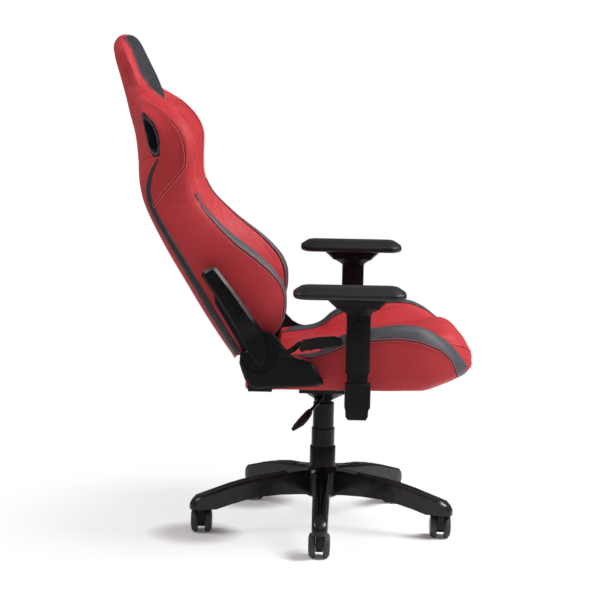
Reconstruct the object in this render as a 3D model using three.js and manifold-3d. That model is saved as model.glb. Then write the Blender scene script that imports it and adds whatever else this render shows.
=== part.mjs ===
// Racing-style swivel chair, in millimetres, +Z up, facing -Y; the sitter's right is -X.
// The origin is the middle of the floor under the chair's bounding box, and the swivel
// column stands at columnY. Inside the chair group every Y is measured from the column.

import * as THREE from 'three';
import { mergeVertices } from 'three/addons/utils/BufferGeometryUtils.js';
import Module from 'manifold-3d';

const wasm = await Module();
wasm.setup();

// ---------------------------------------------------------------- driving dimensions

const columnY = -81;
const gap = 0.3;
const roundSides = 20;
const boltSides = 12;

// Star base
const legCount = 5;
const legTurn = 178.6;
const baseReach = 337;
const legBottomAtEnd = 62;
const hubRadius = 44;
const hubBottom = 82;
const hubTop = 150;
const stemRadius = 5.5;
const stemDepth = 22;
const stemInset = 28;

// Twin-wheel casters
const wheelRadius = 30;
const wheelWidth = 17;
const wheelGap = 18;
const axleRadius = 4;
const casterTrail = 18;
const casterCollarRadius = 12;
const hoodClearance = 0.6;

// Gas lift and its telescoping covers
const tubeRadius = 24;
const tubeBottom = 72;
const tubeTop = 222;
const cylinderRadius = 14;
const cylinderBottom = 180;
const cylinderTop = 346;
const rodRadius = 5;
const rodTop = 235;
const upperCoverWall = 1.4;
const middleCoverWall = 2;
const lowerCoverWall = 2.7;
const coverLid = 4;
const coverGap = 0.6;
const upperCoverTop = 317;
const upperCoverLength = 83;
const middleCoverTop = 253;
const middleCoverLength = 61;
const lowerCoverTop = 207;

// Tilt mechanism
const neckTop = 322;
const housingBottom = 352;
const housingTop = 382;
const housingHalfWidth = 78;
const housingFront = -80;
const housingRear = 62;
const tiltY = -30;
const tiltZ = 369;
const tiltPinRadius = 6;
const plateThickness = 6;
const plateHalfWidth = 95;
const plateRear = 95;
const flangeThickness = 4;
const knobRadius = 16;
const knobLength = 28;
const knobShaftRadius = 4;
const knobStandoff = 4;
const knobClearance = 2.7;

// Height lever, hung in a clevis under the housing
const leverX = -66;
const leverY = 12;
const leverZ = 338;
const leverEyeRadius = 6;
const leverEyeHalf = 8;
const leverPinRadius = 3;
const leverEarThickness = 4;
const leverRodRadius = 4;
const leverRodEnd = [-166, 40, 320];

// Seat
const seatHalfWidth = 250;
const seatBottom = 389;
const seatRear = 190;
const seatCrease = 150;
const frameThickness = 12.7;
const frameHalfWidth = 200;
const frameFront = -130;
const frameRear = 180;

// Backrest
const backHalfWidth = 250;
const backTop = 1217;
const measuredBackTop = 1217;
const stretchFrom = 700;
const backBottomRear = 447;
const backBottomFront = 486;
const frameTubeRadius = 10;
const slotWall = 6;
const headrestPanelDepth = 12;

// Recline hinge and the covers over it
const pivotY = 158;
const pivotZ = 480;
const pivotPinRadius = 8;
const backArmThickness = 4;
const hingePlateThickness = 4;
const sideCoverThickness = 16;
const sideCoverChamfer = 6.5;
const armCoverThickness = 13;
const armCoverChamfer = 6.5;
const armCoverStep = 4.5;
const armCoverLean = 0.533;
const sideGap = 1;
const hingeFootWidth = 56;
const hingeFootRear = 182;
const hingeFootInset = 26;
const pivotDiscRadius = 44;
const pivotDiscDepth = 3;
const clampPinRadius = 7;
const clampPinInner = 211;

// Recline lever
const reclineY = 104;
const reclineZ = 484;
const reclinePinRadius = 4;
const reclinePinDepth = 8;
const reclineThickness = 3;

// Armrests
const armOffset = 55;
const armX = seatHalfWidth + armOffset;
const armY = -73;
const leftArmRaise = 39;
const leftPadForward = 16;
const barThickness = 6;
const barWidth = 40;
const innerTubeDepth = 48;
const innerTubeWidth = 22;
const sleeveDepth = 56;
const sleeveWidth = 32;
const sleeveBottom = 446;
const sleeveTop = 602;
const sleeveFlareStart = 584;
const lowerCoverTopZ = 422;
const lowerCoverBottomZ = 337;
const padBaseThickness = 18.5;
const padLength = 262;
const padWidth = 95;
const padThickness = 29;
const padMiddle = 22;
const tableMiddle = 3;
const tableHalfWidth = 33;
const tableLength = 142;
const tableFootLength = 104;
const padPivotRadius = 9;
const padPivotDepth = 12;
const buttonHalfLength = 9;
const buttonProud = 2;
const buttonDepth = 3;
const buttonPocketDepth = 5;
const swivelButtonHalfHeight = 3;
const padButtonHalfHeight = 3;
const railHeight = 4;
const railWidth = 20;
const railLength = 95;
const padTravel = 40;

// ---------------------------------------------------------------- shape helpers

/** A smooth curve through [t, value] pairs that never overshoots them. */
function through(pairs) {
  const points = [...pairs].sort((a, b) => a[0] - b[0]);
  const slopes = points.slice(1).map((p, i) => (p[1] - points[i][1]) / (p[0] - points[i][0]));
  const tangents = points.map((p, i) => {
    if (i === 0) return slopes[0];
    if (i === points.length - 1) return slopes[i - 1];
    const [before, after] = [slopes[i - 1], slopes[i]];
    return before * after <= 0 ? 0 : (2 * before * after) / (before + after);
  });
  return (t) => {
    if (t <= points[0][0]) return points[0][1];
    if (t >= points[points.length - 1][0]) return points[points.length - 1][1];
    const i = points.findIndex((p, k) => k > 0 && t <= p[0]) - 1;
    const span = points[i + 1][0] - points[i][0];
    const u = (t - points[i][0]) / span;
    const [h1, h2] = [(1 + 2 * u) * (1 - u) ** 2, u * u * (3 - 2 * u)];
    const [h3, h4] = [u * (1 - u) ** 2, u * u * (u - 1)];
    return h1 * points[i][1] + h2 * points[i + 1][1] + span * (h3 * tangents[i] + h4 * tangents[i + 1]);
  };
}

/** Merges shared corners, drops empty triangles and turns every face outward. */
function closed(geometry) {
  const bare = geometry.clone();
  for (const name of Object.keys(bare.attributes)) {
    if (name !== 'position') bare.deleteAttribute(name);
  }
  const merged = mergeVertices(bare, 1e-4);
  const position = merged.attributes.position;
  const kept = [];
  let volume = 0;
  const [a, b, c] = [new THREE.Vector3(), new THREE.Vector3(), new THREE.Vector3()];
  for (let i = 0; i < merged.index.count; i += 3) {
    const corners = [0, 1, 2].map((k) => merged.index.getX(i + k));
    if (new Set(corners).size < 3) continue;
    kept.push(...corners);
    a.fromBufferAttribute(position, corners[0]);
    b.fromBufferAttribute(position, corners[1]);
    c.fromBufferAttribute(position, corners[2]);
    volume += a.dot(b.cross(c));
  }
  if (volume < 0) {
    for (let i = 0; i < kept.length; i += 3) [kept[i], kept[i + 1]] = [kept[i + 1], kept[i]];
  }
  merged.setIndex(kept);
  return merged;
}

function solid(geometry) {
  const shell = closed(geometry);
  return new wasm.Manifold(new wasm.Mesh({
    numProp: 3,
    vertProperties: new Float32Array(shell.attributes.position.array),
    triVerts: new Uint32Array(shell.index.array),
  }));
}

function geometryOf(body) {
  const mesh = body.getMesh();
  const geometry = new THREE.BufferGeometry();
  geometry.setAttribute('position', new THREE.BufferAttribute(new Float32Array(mesh.vertProperties), 3));
  geometry.setIndex(new THREE.BufferAttribute(new Uint32Array(mesh.triVerts), 1));
  return geometry;
}

function join(first, ...others) {
  return geometryOf(others.reduce((body, other) => body.add(solid(other)), solid(first)));
}

function cut(first, ...others) {
  return geometryOf(others.reduce((body, other) => body.subtract(solid(other)), solid(first)));
}

function common(first, second) {
  return geometryOf(solid(first).intersect(solid(second)));
}

/** A closed skin over rings of [x, y, z] points, with flat ends. */
function skin(rings) {
  const sides = rings[0].length;
  const positions = rings.flat(2);
  const index = [];
  for (let i = 0; i < rings.length - 1; i += 1) {
    for (let j = 0; j < sides; j += 1) {
      const [a, b] = [i * sides + j, i * sides + ((j + 1) % sides)];
      index.push(a, b, b + sides, a, b + sides, a + sides);
    }
  }
  const ends = [[rings[0], 0, true], [rings.at(-1), (rings.length - 1) * sides, false]];
  for (const [ring, start, flip] of ends) {
    const middle = positions.length / 3;
    for (let axis = 0; axis < 3; axis += 1) {
      positions.push(ring.reduce((sum, p) => sum + p[axis], 0) / sides);
    }
    for (let j = 0; j < sides; j += 1) {
      const [a, b] = [start + j, start + ((j + 1) % sides)];
      index.push(...(flip ? [b, a, middle] : [a, b, middle]));
    }
  }
  const geometry = new THREE.BufferGeometry();
  geometry.setAttribute('position', new THREE.Float32BufferAttribute(positions, 3));
  geometry.setIndex(index);
  return closed(geometry);
}

/** The right half of a ring, mirrored about X = 0; its first and last points lie on X = 0. */
function mirroredRing(half) {
  return [...half, ...half.slice(1, -1).reverse().map(([x, y, z]) => [-x, y, z])];
}

/** A solid turned about the vertical axis from a profile of [radius, z] points. */
function turned(profile, sides = roundSides) {
  const points = profile.map(([radius, z]) => new THREE.Vector2(radius, z));
  const onAxis = profile[0][0] === 0 && profile.at(-1)[0] === 0;
  if (!onAxis) points.push(points[0].clone());
  return closed(new THREE.LatheGeometry(points, sides).rotateX(Math.PI / 2));
}

function shapeOf(points) {
  return new THREE.Shape(points.map(([u, v]) => new THREE.Vector2(u, v)));
}

/** An outline of [y, z] points made thick along X, from x0 to x1, with an optional bevel. */
function acrossX(points, x0, x1, bevel = 0) {
  const depth = x1 - x0 - 2 * bevel;
  const geometry = new THREE.ExtrudeGeometry(shapeOf(points), {
    depth,
    bevelEnabled: bevel > 0, bevelThickness: bevel, bevelSize: bevel, bevelOffset: -bevel, bevelSegments: 1,
  });
  geometry.translate(0, 0, bevel);
  const turn = new THREE.Matrix4().set(0, 0, 1, x0, 1, 0, 0, 0, 0, 1, 0, 0, 0, 0, 0, 1);
  return closed(geometry.applyMatrix4(turn));
}

/** As acrossX, with a wide chamfer round the face at x1 only. */
function facedX(points, x0, x1, chamfer) {
  const reach = 2000;
  const whole = acrossX(points, x0 - chamfer - 1, x1, chamfer);
  return common(whole, block(x0, x1 + 1, -reach, reach, -reach, reach));
}

/** An outline of [x, z] points made thick along Y, from y0 to y1. */
function acrossY(points, y0, y1) {
  const geometry = new THREE.ExtrudeGeometry(shapeOf(points), { depth: y1 - y0, bevelEnabled: false });
  const turn = new THREE.Matrix4().set(1, 0, 0, 0, 0, 0, -1, y1, 0, 1, 0, 0, 0, 0, 0, 1);
  return closed(geometry.applyMatrix4(turn));
}

/** An outline of [x, y] points made thick along Z, from z0 to z1, with an optional bevel. */
function upward(points, z0, z1, bevel = 0, bevelSegments = 1) {
  const geometry = new THREE.ExtrudeGeometry(shapeOf(points), {
    depth: z1 - z0 - 2 * bevel,
    bevelEnabled: bevel > 0, bevelThickness: bevel, bevelSize: bevel, bevelOffset: -bevel, bevelSegments,
  });
  return closed(geometry.translate(0, 0, z0 + bevel));
}

function block(x0, x1, y0, y1, z0, z1) {
  const geometry = new THREE.BoxGeometry(x1 - x0, y1 - y0, z1 - z0);
  return closed(geometry.translate((x0 + x1) / 2, (y0 + y1) / 2, (z0 + z1) / 2));
}

/** A round bar along X from x0 to x1, through the point (y, z). */
function barX(radius, x0, x1, y, z, sides = boltSides) {
  const geometry = new THREE.CylinderGeometry(radius, radius, x1 - x0, sides);
  return closed(geometry.rotateZ(Math.PI / 2).translate((x0 + x1) / 2, y, z));
}

/** A round bar along Y from y0 to y1, through the point (x, z). */
function barY(radius, y0, y1, x, z, sides = boltSides) {
  const geometry = new THREE.CylinderGeometry(radius, radius, y1 - y0, sides);
  return closed(geometry.translate(x, (y0 + y1) / 2, z));
}

/** A round bar along Z. */
function barZ(radius, z0, z1, x = 0, y = 0, sides = boltSides) {
  const geometry = new THREE.CylinderGeometry(radius, radius, z1 - z0, sides);
  return closed(geometry.rotateX(Math.PI / 2).translate(x, y, (z0 + z1) / 2));
}

/** The radius of a bore with flat sides in which a pin of the given radius turns freely. */
function running(radius, sides = boltSides) {
  return (radius + gap) / Math.cos(Math.PI / sides);
}

/** A round tube or bar along a curve through [x, y, z] points. */
function alongPath(points, radius, sides, steps) {
  const section = shapeOf(Array.from({ length: sides }, (_, i) => {
    const angle = (2 * Math.PI * i) / sides;
    return [radius * Math.cos(angle), radius * Math.sin(angle)];
  }));
  const path = new THREE.CatmullRomCurve3(points.map((p) => new THREE.Vector3(...p)), false, 'centripetal');
  return closed(new THREE.ExtrudeGeometry(section, { steps, extrudePath: path, bevelEnabled: false }));
}

/** Outline of a rectangle with round corners, centred on (cu, cv). */
function roundedRectangle(width, height, radius, cu = 0, cv = 0, cornerSteps = 4) {
  const points = [];
  const corners = [[1, 1, 0], [-1, 1, 90], [-1, -1, 180], [1, -1, 270]];
  for (const [su, sv, start] of corners) {
    for (let i = 0; i <= cornerSteps; i += 1) {
      const angle = THREE.MathUtils.degToRad(start + (90 * i) / cornerSteps);
      points.push([
        cu + su * (width / 2 - radius) + radius * Math.cos(angle),
        cv + sv * (height / 2 - radius) + radius * Math.sin(angle),
      ]);
    }
  }
  return points;
}

/** Moves every corner of a convex outline away from its middle by a distance. */
function grown(points, distance) {
  const cu = points.reduce((sum, p) => sum + p[0], 0) / points.length;
  const cv = points.reduce((sum, p) => sum + p[1], 0) / points.length;
  return points.map(([u, v]) => {
    const length = Math.hypot(u - cu, v - cv);
    return [u + ((u - cu) * distance) / length, v + ((v - cv) * distance) / length];
  });
}

/** The +X (left-hand) shape for side 1, and its mirror image for side -1. */
function handed(geometry, side) {
  return side > 0 ? geometry : closed(geometry.clone().scale(-1, 1, 1));
}

// ---------------------------------------------------------------- materials and nodes

const looks = {
  nylon: { color: 0x1a1a1e, roughness: 0.3, metalness: 0 },
  plastic: { color: 0x1b191b, roughness: 0.5, metalness: 0 },
  steel: { color: 0x1e1e20, roughness: 0.45, metalness: 0.7 },
  chrome: { color: 0xb8b8bc, roughness: 0.2, metalness: 1 },
  tread: { color: 0x232325, roughness: 0.6, metalness: 0 },
  redLeather: { color: 0xa83238, roughness: 0.5, metalness: 0 },
  blackLeather: { color: 0x3a3a40, roughness: 0.55, metalness: 0 },
  softPad: { color: 0x222228, roughness: 0.65, metalness: 0 },
};

function node(parent, name, geometry, look) {
  const mesh = new THREE.Mesh(geometry, new THREE.MeshStandardMaterial(looks[look]));
  mesh.name = name;
  parent.add(mesh);
  return mesh;
}

function groupAt(parent, x, y, z, turn = 0) {
  const group = new THREE.Group();
  group.position.set(x, y, z);
  group.rotation.z = turn;
  parent.add(group);
  return group;
}

// ---------------------------------------------------------------- star base and casters

const legTop = through([
  [0, 150], [58, 149], [84, 144], [161, 136], [230, 122], [270, 110], [300, 101], [322, 94], [baseReach, 78],
]);
const legUnder = through([
  [0, 84], [83, 91], [113, 91], [155, 89], [200, 82], [242, 72], [275, legBottomAtEnd],
  [baseReach, legBottomAtEnd],
]);
const legHalfWidth = through([[0, 23], [120, 21], [250, 19.5], [318, 18.5], [330, 15], [baseReach, 9]]);
const legEdge = 6;
const legStations = [12, 60, 110, 160, 205, 240, 275, 300, 320, 331, baseReach];
const legRibHalf = 2.5;
const legPocketDepth = 5;

function legRing(radius) {
  const [half, top, under] = [legHalfWidth(radius), legTop(radius), legUnder(radius)];
  return [
    [radius, -half, under], [radius, half, under], [radius, half + 0.01, top - legEdge],
    [radius, half - legEdge, top], [radius, legEdge - half, top], [radius, -half - 0.01, top - legEdge],
  ];
}

/** The wedge-shaped hollow on one side of the middle rib of a leg's top face. */
function legPocket(side) {
  const [start, end] = [92, 288];
  const rings = [];
  const steps = 3;
  for (let i = 0; i <= steps; i += 1) {
    const radius = start + ((end - start) * i) / steps;
    const outer = THREE.MathUtils.lerp(legHalfWidth(start) - legEdge - 1, legRibHalf + 1, i / steps);
    const floor = legTop(radius) - legPocketDepth;
    const roof = legTop(radius) + legPocketDepth;
    rings.push([
      [radius, side * legRibHalf, floor], [radius, side * outer, floor],
      [radius, side * outer, roof], [radius, side * legRibHalf, roof],
    ]);
  }
  return skin(rings);
}

function starBaseGeometry() {
  const stemX = baseReach - stemInset;
  const leg = cut(
    skin(legStations.map(legRing)),
    legPocket(1),
    legPocket(-1),
    barZ(running(stemRadius), legBottomAtEnd - 1, legBottomAtEnd + stemDepth + gap, stemX, 0),
  );
  const legs = [];
  for (let k = 0; k < legCount; k += 1) {
    legs.push(leg.clone().rotateZ((2 * Math.PI * k) / legCount));
  }
  const hub = turned([
    [0, hubBottom], [hubRadius - 6, hubBottom], [hubRadius, hubBottom + 6],
    [hubRadius, hubTop - 6], [hubRadius - 5, hubTop], [0, hubTop],
  ]);
  return cut(join(hub, ...legs), barZ(tubeRadius + gap, hubBottom - 5, hubTop + 5, 0, 0, roundSides));
}

/** The caster's hood, stem and axle, with the stem on the local origin and the axle along Y. */
function casterYokeGeometry() {
  const hoodHalf = wheelGap / 2 - hoodClearance;
  const top = legBottomAtEnd - gap;
  const hood = acrossY([
    [-9, top - 1.5], [-10, 48], [-8, 34], [-2, 22], [7, 15.5], [20, 14], [33, 19], [41, 30],
    [39, 43], [31, 53], [20, 57], [14, 58.4], [9, top - 1.5],
  ], -hoodHalf, hoodHalf);
  const stem = turned([
    [0, 46], [hoodHalf, 46], [hoodHalf, top - 2.6], [casterCollarRadius, top - 1.4],
    [casterCollarRadius, top],
    [stemRadius, top], [stemRadius, top + stemDepth - 1], [0, top + stemDepth - 1],
  ], boltSides);
  const axleHalf = wheelGap / 2 + wheelWidth - 5;
  return join(hood, stem, barY(axleRadius, -axleHalf, axleHalf, casterTrail, wheelRadius));
}

/** One wheel, its inner face on the local Y = 0 and its domed face toward +Y for side 1. */
function wheelGeometry(side) {
  const bore = axleRadius + gap;
  const profile = [
    [bore, 0], [27, 0], [wheelRadius, 2.5], [wheelRadius, 8.5], [26.5, 14.5], [18, wheelWidth],
    [0, wheelWidth], [0, wheelWidth - 4.5], [bore, wheelWidth - 4.5],
  ];
  const points = [...profile, profile[0]].map(([radius, y]) => new THREE.Vector2(radius, y));
  const geometry = closed(new THREE.LatheGeometry(points, roundSides));
  return side > 0 ? geometry : closed(geometry.clone().scale(1, -1, 1));
}

function addBase(chair) {
  const base = groupAt(chair, 0, 0, 0, THREE.MathUtils.degToRad(legTurn));
  node(base, 'star_base', starBaseGeometry(), 'nylon');
  const reach = baseReach - stemInset;
  for (let k = 0; k < legCount; k += 1) {
    const angle = THREE.MathUtils.degToRad(legTurn) + (2 * Math.PI * k) / legCount;
    const caster = groupAt(chair, reach * Math.cos(angle), reach * Math.sin(angle), 0);
    const number = k + 1;
    node(caster, `caster_yoke_${number}`, casterYokeGeometry(), 'plastic');
    for (const [letter, side] of [['a', -1], ['b', 1]]) {
      const wheel = node(caster, `caster_wheel_${number}_${letter}`, wheelGeometry(side), 'tread');
      wheel.position.set(casterTrail, (side * wheelGap) / 2, wheelRadius);
    }
  }
}

// ---------------------------------------------------------------- gas lift and covers

const upperCoverInner = tubeRadius + coverGap;
const upperCoverRadius = upperCoverInner + upperCoverWall;
const middleCoverInner = upperCoverRadius + coverGap;
const middleCoverRadius = middleCoverInner + middleCoverWall;
const lowerCoverInner = middleCoverRadius + coverGap;
const lowerCoverRadius = lowerCoverInner + lowerCoverWall;

/** An open sleeve between two heights, with a bead round its upper rim. */
function sleeve(inner, outer, bottom, top) {
  const bead = 0.4;
  return turned([
    [inner, bottom], [outer, bottom], [outer, top - 5], [outer + bead, top - 4], [outer + bead, top - 1],
    [outer - 0.5, top], [inner, top],
  ]);
}

function upperCoverGeometry() {
  const bottom = upperCoverTop - upperCoverLength;
  return turned([
    [upperCoverInner, bottom], [upperCoverRadius, bottom], [upperCoverRadius, upperCoverTop - 1],
    [upperCoverRadius - 1, upperCoverTop], [cylinderRadius + gap, upperCoverTop],
    [cylinderRadius + gap, upperCoverTop - coverLid], [upperCoverInner, upperCoverTop - coverLid],
  ]);
}

function lowerCoverGeometry() {
  const bottom = hubTop + gap;
  const flange = 4;
  return turned([
    [lowerCoverInner, bottom], [lowerCoverRadius + flange, bottom], [lowerCoverRadius + flange, bottom + 3],
    [lowerCoverRadius, bottom + 6], [lowerCoverRadius, lowerCoverTop - 2],
    [lowerCoverRadius - 1, lowerCoverTop], [lowerCoverInner, lowerCoverTop],
  ]);
}

function addColumn(chair) {
  const bore = cylinderRadius + gap;
  const foot = 4;
  node(chair, 'lift_outer_tube', turned([
    [0, tubeBottom], [tubeRadius - 2, tubeBottom], [tubeRadius, tubeBottom + 3], [tubeRadius, tubeTop],
    [bore, tubeTop], [bore, tubeBottom + foot], [0, tubeBottom + foot],
  ]), 'steel');
  node(chair, 'lift_piston_rod', turned([
    [0, tubeBottom + foot + gap], [rodRadius + 4, tubeBottom + foot + gap], [rodRadius + 4, tubeBottom + 10],
    [rodRadius, tubeBottom + 12], [rodRadius, rodTop], [0, rodTop],
  ], 16), 'chrome');
  const rodBore = rodRadius + gap;
  const rodBoreTop = cylinderTop - 16;
  node(chair, 'lift_cylinder', turned([
    [rodBore, cylinderBottom], [cylinderRadius, cylinderBottom], [cylinderRadius, cylinderTop - 2],
    [cylinderRadius - 2, cylinderTop], [0, cylinderTop], [0, rodBoreTop], [rodBore, rodBoreTop],
  ]), 'steel');
  node(chair, 'column_cover_lower', lowerCoverGeometry(), 'plastic');
  const middleBottom = middleCoverTop - middleCoverLength;
  const middle = sleeve(middleCoverInner, middleCoverRadius, middleBottom, middleCoverTop);
  node(chair, 'column_cover_middle', middle, 'plastic');
  node(chair, 'column_cover_upper', upperCoverGeometry(), 'plastic');
}

// ---------------------------------------------------------------- tilt mechanism

const plateTop = seatBottom - gap;
const plateBottom = plateTop - plateThickness;
const flangeInner = housingHalfWidth + 4;
const knobZ = plateBottom - knobRadius - knobClearance;
const leverEarOuter = leverEyeHalf + gap + leverEarThickness;

/** A ring of eight points that goes from a rectangle (round = 0) to a circle (round = 1). */
function eightRing(halfX, front, rear, radius, round, z) {
  const ring = [];
  for (let i = 0; i < 8; i += 1) {
    const angle = (Math.PI * (i + 0.5)) / 4;
    const [c, s] = [Math.cos(angle), Math.sin(angle)];
    const square = [Math.sign(c) * halfX * (Math.abs(c) > Math.abs(s) ? 1 : 0.7),
      s > 0 ? rear * (Math.abs(s) > Math.abs(c) ? 1 : 0.7) : front * (Math.abs(s) > Math.abs(c) ? 1 : 0.7)];
    ring.push([
      THREE.MathUtils.lerp(square[0], radius * c, round),
      THREE.MathUtils.lerp(square[1], radius * s, round), z,
    ]);
  }
  return ring;
}

function housingGeometry() {
  const neckRadius = 19.5;
  const box = acrossX([
    [housingFront, housingBottom], [housingRear, housingBottom], [housingRear, housingTop - 21.5],
    [tiltY - 2, housingTop], [housingFront + 10, housingTop], [housingFront, housingTop - 12],
  ], -housingHalfWidth, housingHalfWidth);
  const funnel = skin([
    eightRing(0, 0, 0, neckRadius, 1, upperCoverTop + 1),
    eightRing(0, 0, 0, neckRadius, 1, neckTop),
    eightRing(48, -52, 44, 0, 0, housingBottom - 8),
    eightRing(70, -72, 58, 0, 0, housingBottom + 4),
  ]);
  const earHalf = leverPinRadius + 4;
  const ears = [-1, 1].map((side) => {
    const [inner, outer] = [leverY + side * (leverEyeHalf + gap), leverY + side * leverEarOuter];
    const [front, rear] = [Math.min(inner, outer), Math.max(inner, outer)];
    return block(leverX - earHalf, leverX + earHalf, front, rear, leverZ - earHalf, housingBottom + 2);
  });
  return cut(
    join(box, funnel, ...ears),
    barZ(cylinderRadius + gap, upperCoverTop - coverLid, cylinderTop + gap, 0, 0, roundSides),
    barX(running(tiltPinRadius), -housingHalfWidth - 1, housingHalfWidth + 1, tiltY, tiltZ),
    barY(running(knobShaftRadius), housingFront - 1, housingFront + 20, 0, knobZ),
    barY(running(leverPinRadius), leverY - leverEarOuter - 1, leverY + leverEarOuter + 1, leverX, leverZ),
  );
}

/** The tilting top plate, with a cheek down each side that holds the tilt pin. */
function seatPlateGeometry() {
  const plate = upward([
    [-plateHalfWidth, housingFront], [plateHalfWidth, housingFront],
    [plateHalfWidth, plateRear], [-plateHalfWidth, plateRear],
  ], plateBottom, plateTop);
  const cheek = [
    [-75, plateBottom + 1], [-60, 354], [-8, 354], [2, 361], [60, 370], [60, plateBottom + 1],
  ];
  const outer = flangeInner + flangeThickness;
  return cut(
    join(plate, acrossX(cheek, flangeInner, outer), acrossX(cheek, -outer, -flangeInner)),
    barX(running(tiltPinRadius), -plateHalfWidth, plateHalfWidth, tiltY, tiltZ),
  );
}

function tensionKnobGeometry() {
  const front = housingFront - knobStandoff - knobLength;
  const lobes = 10;
  const outline = [];
  for (let i = 0; i < lobes * 2; i += 1) {
    const angle = (Math.PI * i) / lobes;
    const radius = i % 2 ? knobRadius : knobRadius - 2;
    outline.push([radius * Math.cos(angle), knobZ + radius * Math.sin(angle)]);
  }
  const shaft = barY(knobShaftRadius, front + 4, housingFront + 18, 0, knobZ);
  return join(acrossY(outline, front, front + knobLength), shaft);
}

function leverRod(radius) {
  return alongPath([
    [leverX, leverY, leverZ], [leverX - 44, leverY + 4, leverZ - 3], [leverX - 78, 28, 329], leverRodEnd,
  ], radius, 8, 8);
}

/** The height lever's steel rod, with an eye and a pin that turns in the housing's ears. */
function heightLeverGeometry() {
  const eye = barY(leverEyeRadius, leverY - leverEyeHalf, leverY + leverEyeHalf, leverX, leverZ);
  const pin = barY(leverPinRadius, leverY - leverEarOuter, leverY + leverEarOuter, leverX, leverZ);
  return join(leverRod(leverRodRadius), eye, pin);
}

/** The flat paddle pushed on the rod's end. */
function heightLeverGripGeometry() {
  const ring = (x, y, z, wide, thick) => {
    const tilt = 0.55;
    return roundedRectangle(wide, thick, thick * 0.45, 0, 0, 2).map(([u, v]) => [
      x, y + u * Math.cos(tilt) + v * Math.sin(tilt), z - u * Math.sin(tilt) + v * Math.cos(tilt),
    ]);
  };
  const paddle = skin([
    ring(-150, 36, 323, 12, 11), ring(-158, 38, 321, 20, 13), ring(-180, 46, 314, 32, 13),
    ring(-205, 56, 306, 38, 11), ring(-224, 63, 300, 34, 9), ring(-231, 66, 298, 24, 6),
  ]);
  const [x, y, z] = leverRodEnd;
  const half = leverRodRadius + gap;
  const rodEnd = block(x - 1, x + 2, y - half, y + half, z - half, z + half);
  return cut(paddle, leverRod(leverRodRadius + gap), rodEnd);
}

function addMechanism(chair) {
  node(chair, 'mechanism_housing', housingGeometry(), 'steel');
  const pinHalf = flangeInner + flangeThickness + 5;
  node(chair, 'tilt_pin', barX(tiltPinRadius, -pinHalf, pinHalf, tiltY, tiltZ), 'chrome');
  node(chair, 'tension_knob', tensionKnobGeometry(), 'plastic');
  node(chair, 'height_lever', heightLeverGeometry(), 'steel');
  node(chair, 'height_lever_grip', heightLeverGripGeometry(), 'plastic');
  node(chair, 'seat_plate', seatPlateGeometry(), 'steel');
}

// ---------------------------------------------------------------- seat

const backArmInner = Math.max(seatHalfWidth, backHalfWidth) + sideGap;
const backArmOuter = backArmInner + backArmThickness;

/** The frame's outer shape, grown by a clearance where it stands for the recess in the foam. */
function frameBlock(clearance) {
  const outline = roundedRectangle(
    2 * (frameHalfWidth + clearance), frameRear - frameFront + 2 * clearance, 18, 0,
    (frameRear + frameFront) / 2, 3,
  );
  return upward(outline, seatBottom - 10 * clearance, seatBottom + frameThickness + clearance);
}

/** The space that a hinge plate's foot takes, at the outer rear corner of the frame. */
function hingeFootBlock(side, clearance) {
  return handed(block(
    frameHalfWidth - hingeFootInset - clearance, backArmOuter,
    hingeFootRear - hingeFootWidth - clearance, hingeFootRear + clearance,
    seatBottom - 10 * clearance, seatBottom + hingePlateThickness + clearance,
  ), side);
}

/** A stamped frame let into the cushion's underside, open in the middle of each side. */
function seatFrameGeometry() {
  const windows = [-1, 1].map((side) => upward(
    roundedRectangle(62, 140, 12, side * 136, 36, 2), seatBottom - 1, seatBottom + frameThickness + 1,
  ));
  return cut(frameBlock(0), ...windows, hingeFootBlock(-1, gap), hingeFootBlock(1, gap));
}

const seatHalfAt = through([
  [seatRear, seatHalfWidth - 6], [120, seatHalfWidth - 2], [-150, seatHalfWidth], [-222, seatHalfWidth - 1],
  [-281, seatHalfWidth - 10], [-311, seatHalfWidth - 24], [-331, seatHalfWidth - 42],
  [-348, seatHalfWidth - 72], [-358, seatHalfWidth - 104], [-364, seatHalfWidth - 145],
]);
const seatMiddleTop = through([
  [seatRear, 408], [122, 411], [118, 430], [112, 456], [62, 466], [-39, 480], [-140, 496], [-240, 520],
  [-273, 534], [-290, 536], [-312, 529], [-328, 511], [-348, 480], [-358, 460], [-364, 442],
]);
const seatCreaseTop = through([
  [seatRear, 408], [122, 411], [118, 428], [112, 449], [62, 456], [-39, 468], [-140, 483], [-240, 509],
  [-273, 523], [-290, 526], [-312, 519], [-328, 502], [-348, 473], [-358, 455], [-364, 440],
]);
const seatBolsterTop = through([
  [seatRear, 407], [122, 411], [118, 430], [112, 468], [29, 480], [5, 492], [-17, 513], [-53, 531],
  [-110, 543], [-173, 551], [-212, 549], [-246, 537], [-278, 515], [-304, 491], [-323, 466],
  [-335, 452], [-350, 445], [-364, 438],
]);
const seatSideBottom = through([
  [seatRear, seatBottom], [-141, seatBottom], [-222, 407], [-281, 424], [-311, 431], [-364, 432],
]);
const seatMiddleBottom = through([
  [seatRear, seatBottom], [-336, seatBottom + 1], [-348, 404], [-356, 416], [-364, 431],
]);
const seatStations = [
  seatRear, 185, 122, 118, 112, 90, 55, 25, 0, -20, -40, -65, -100, -140, -180, -215, -250, -280,
  -304, -322, -337, -349, -357.5, -362, -364,
];

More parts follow.
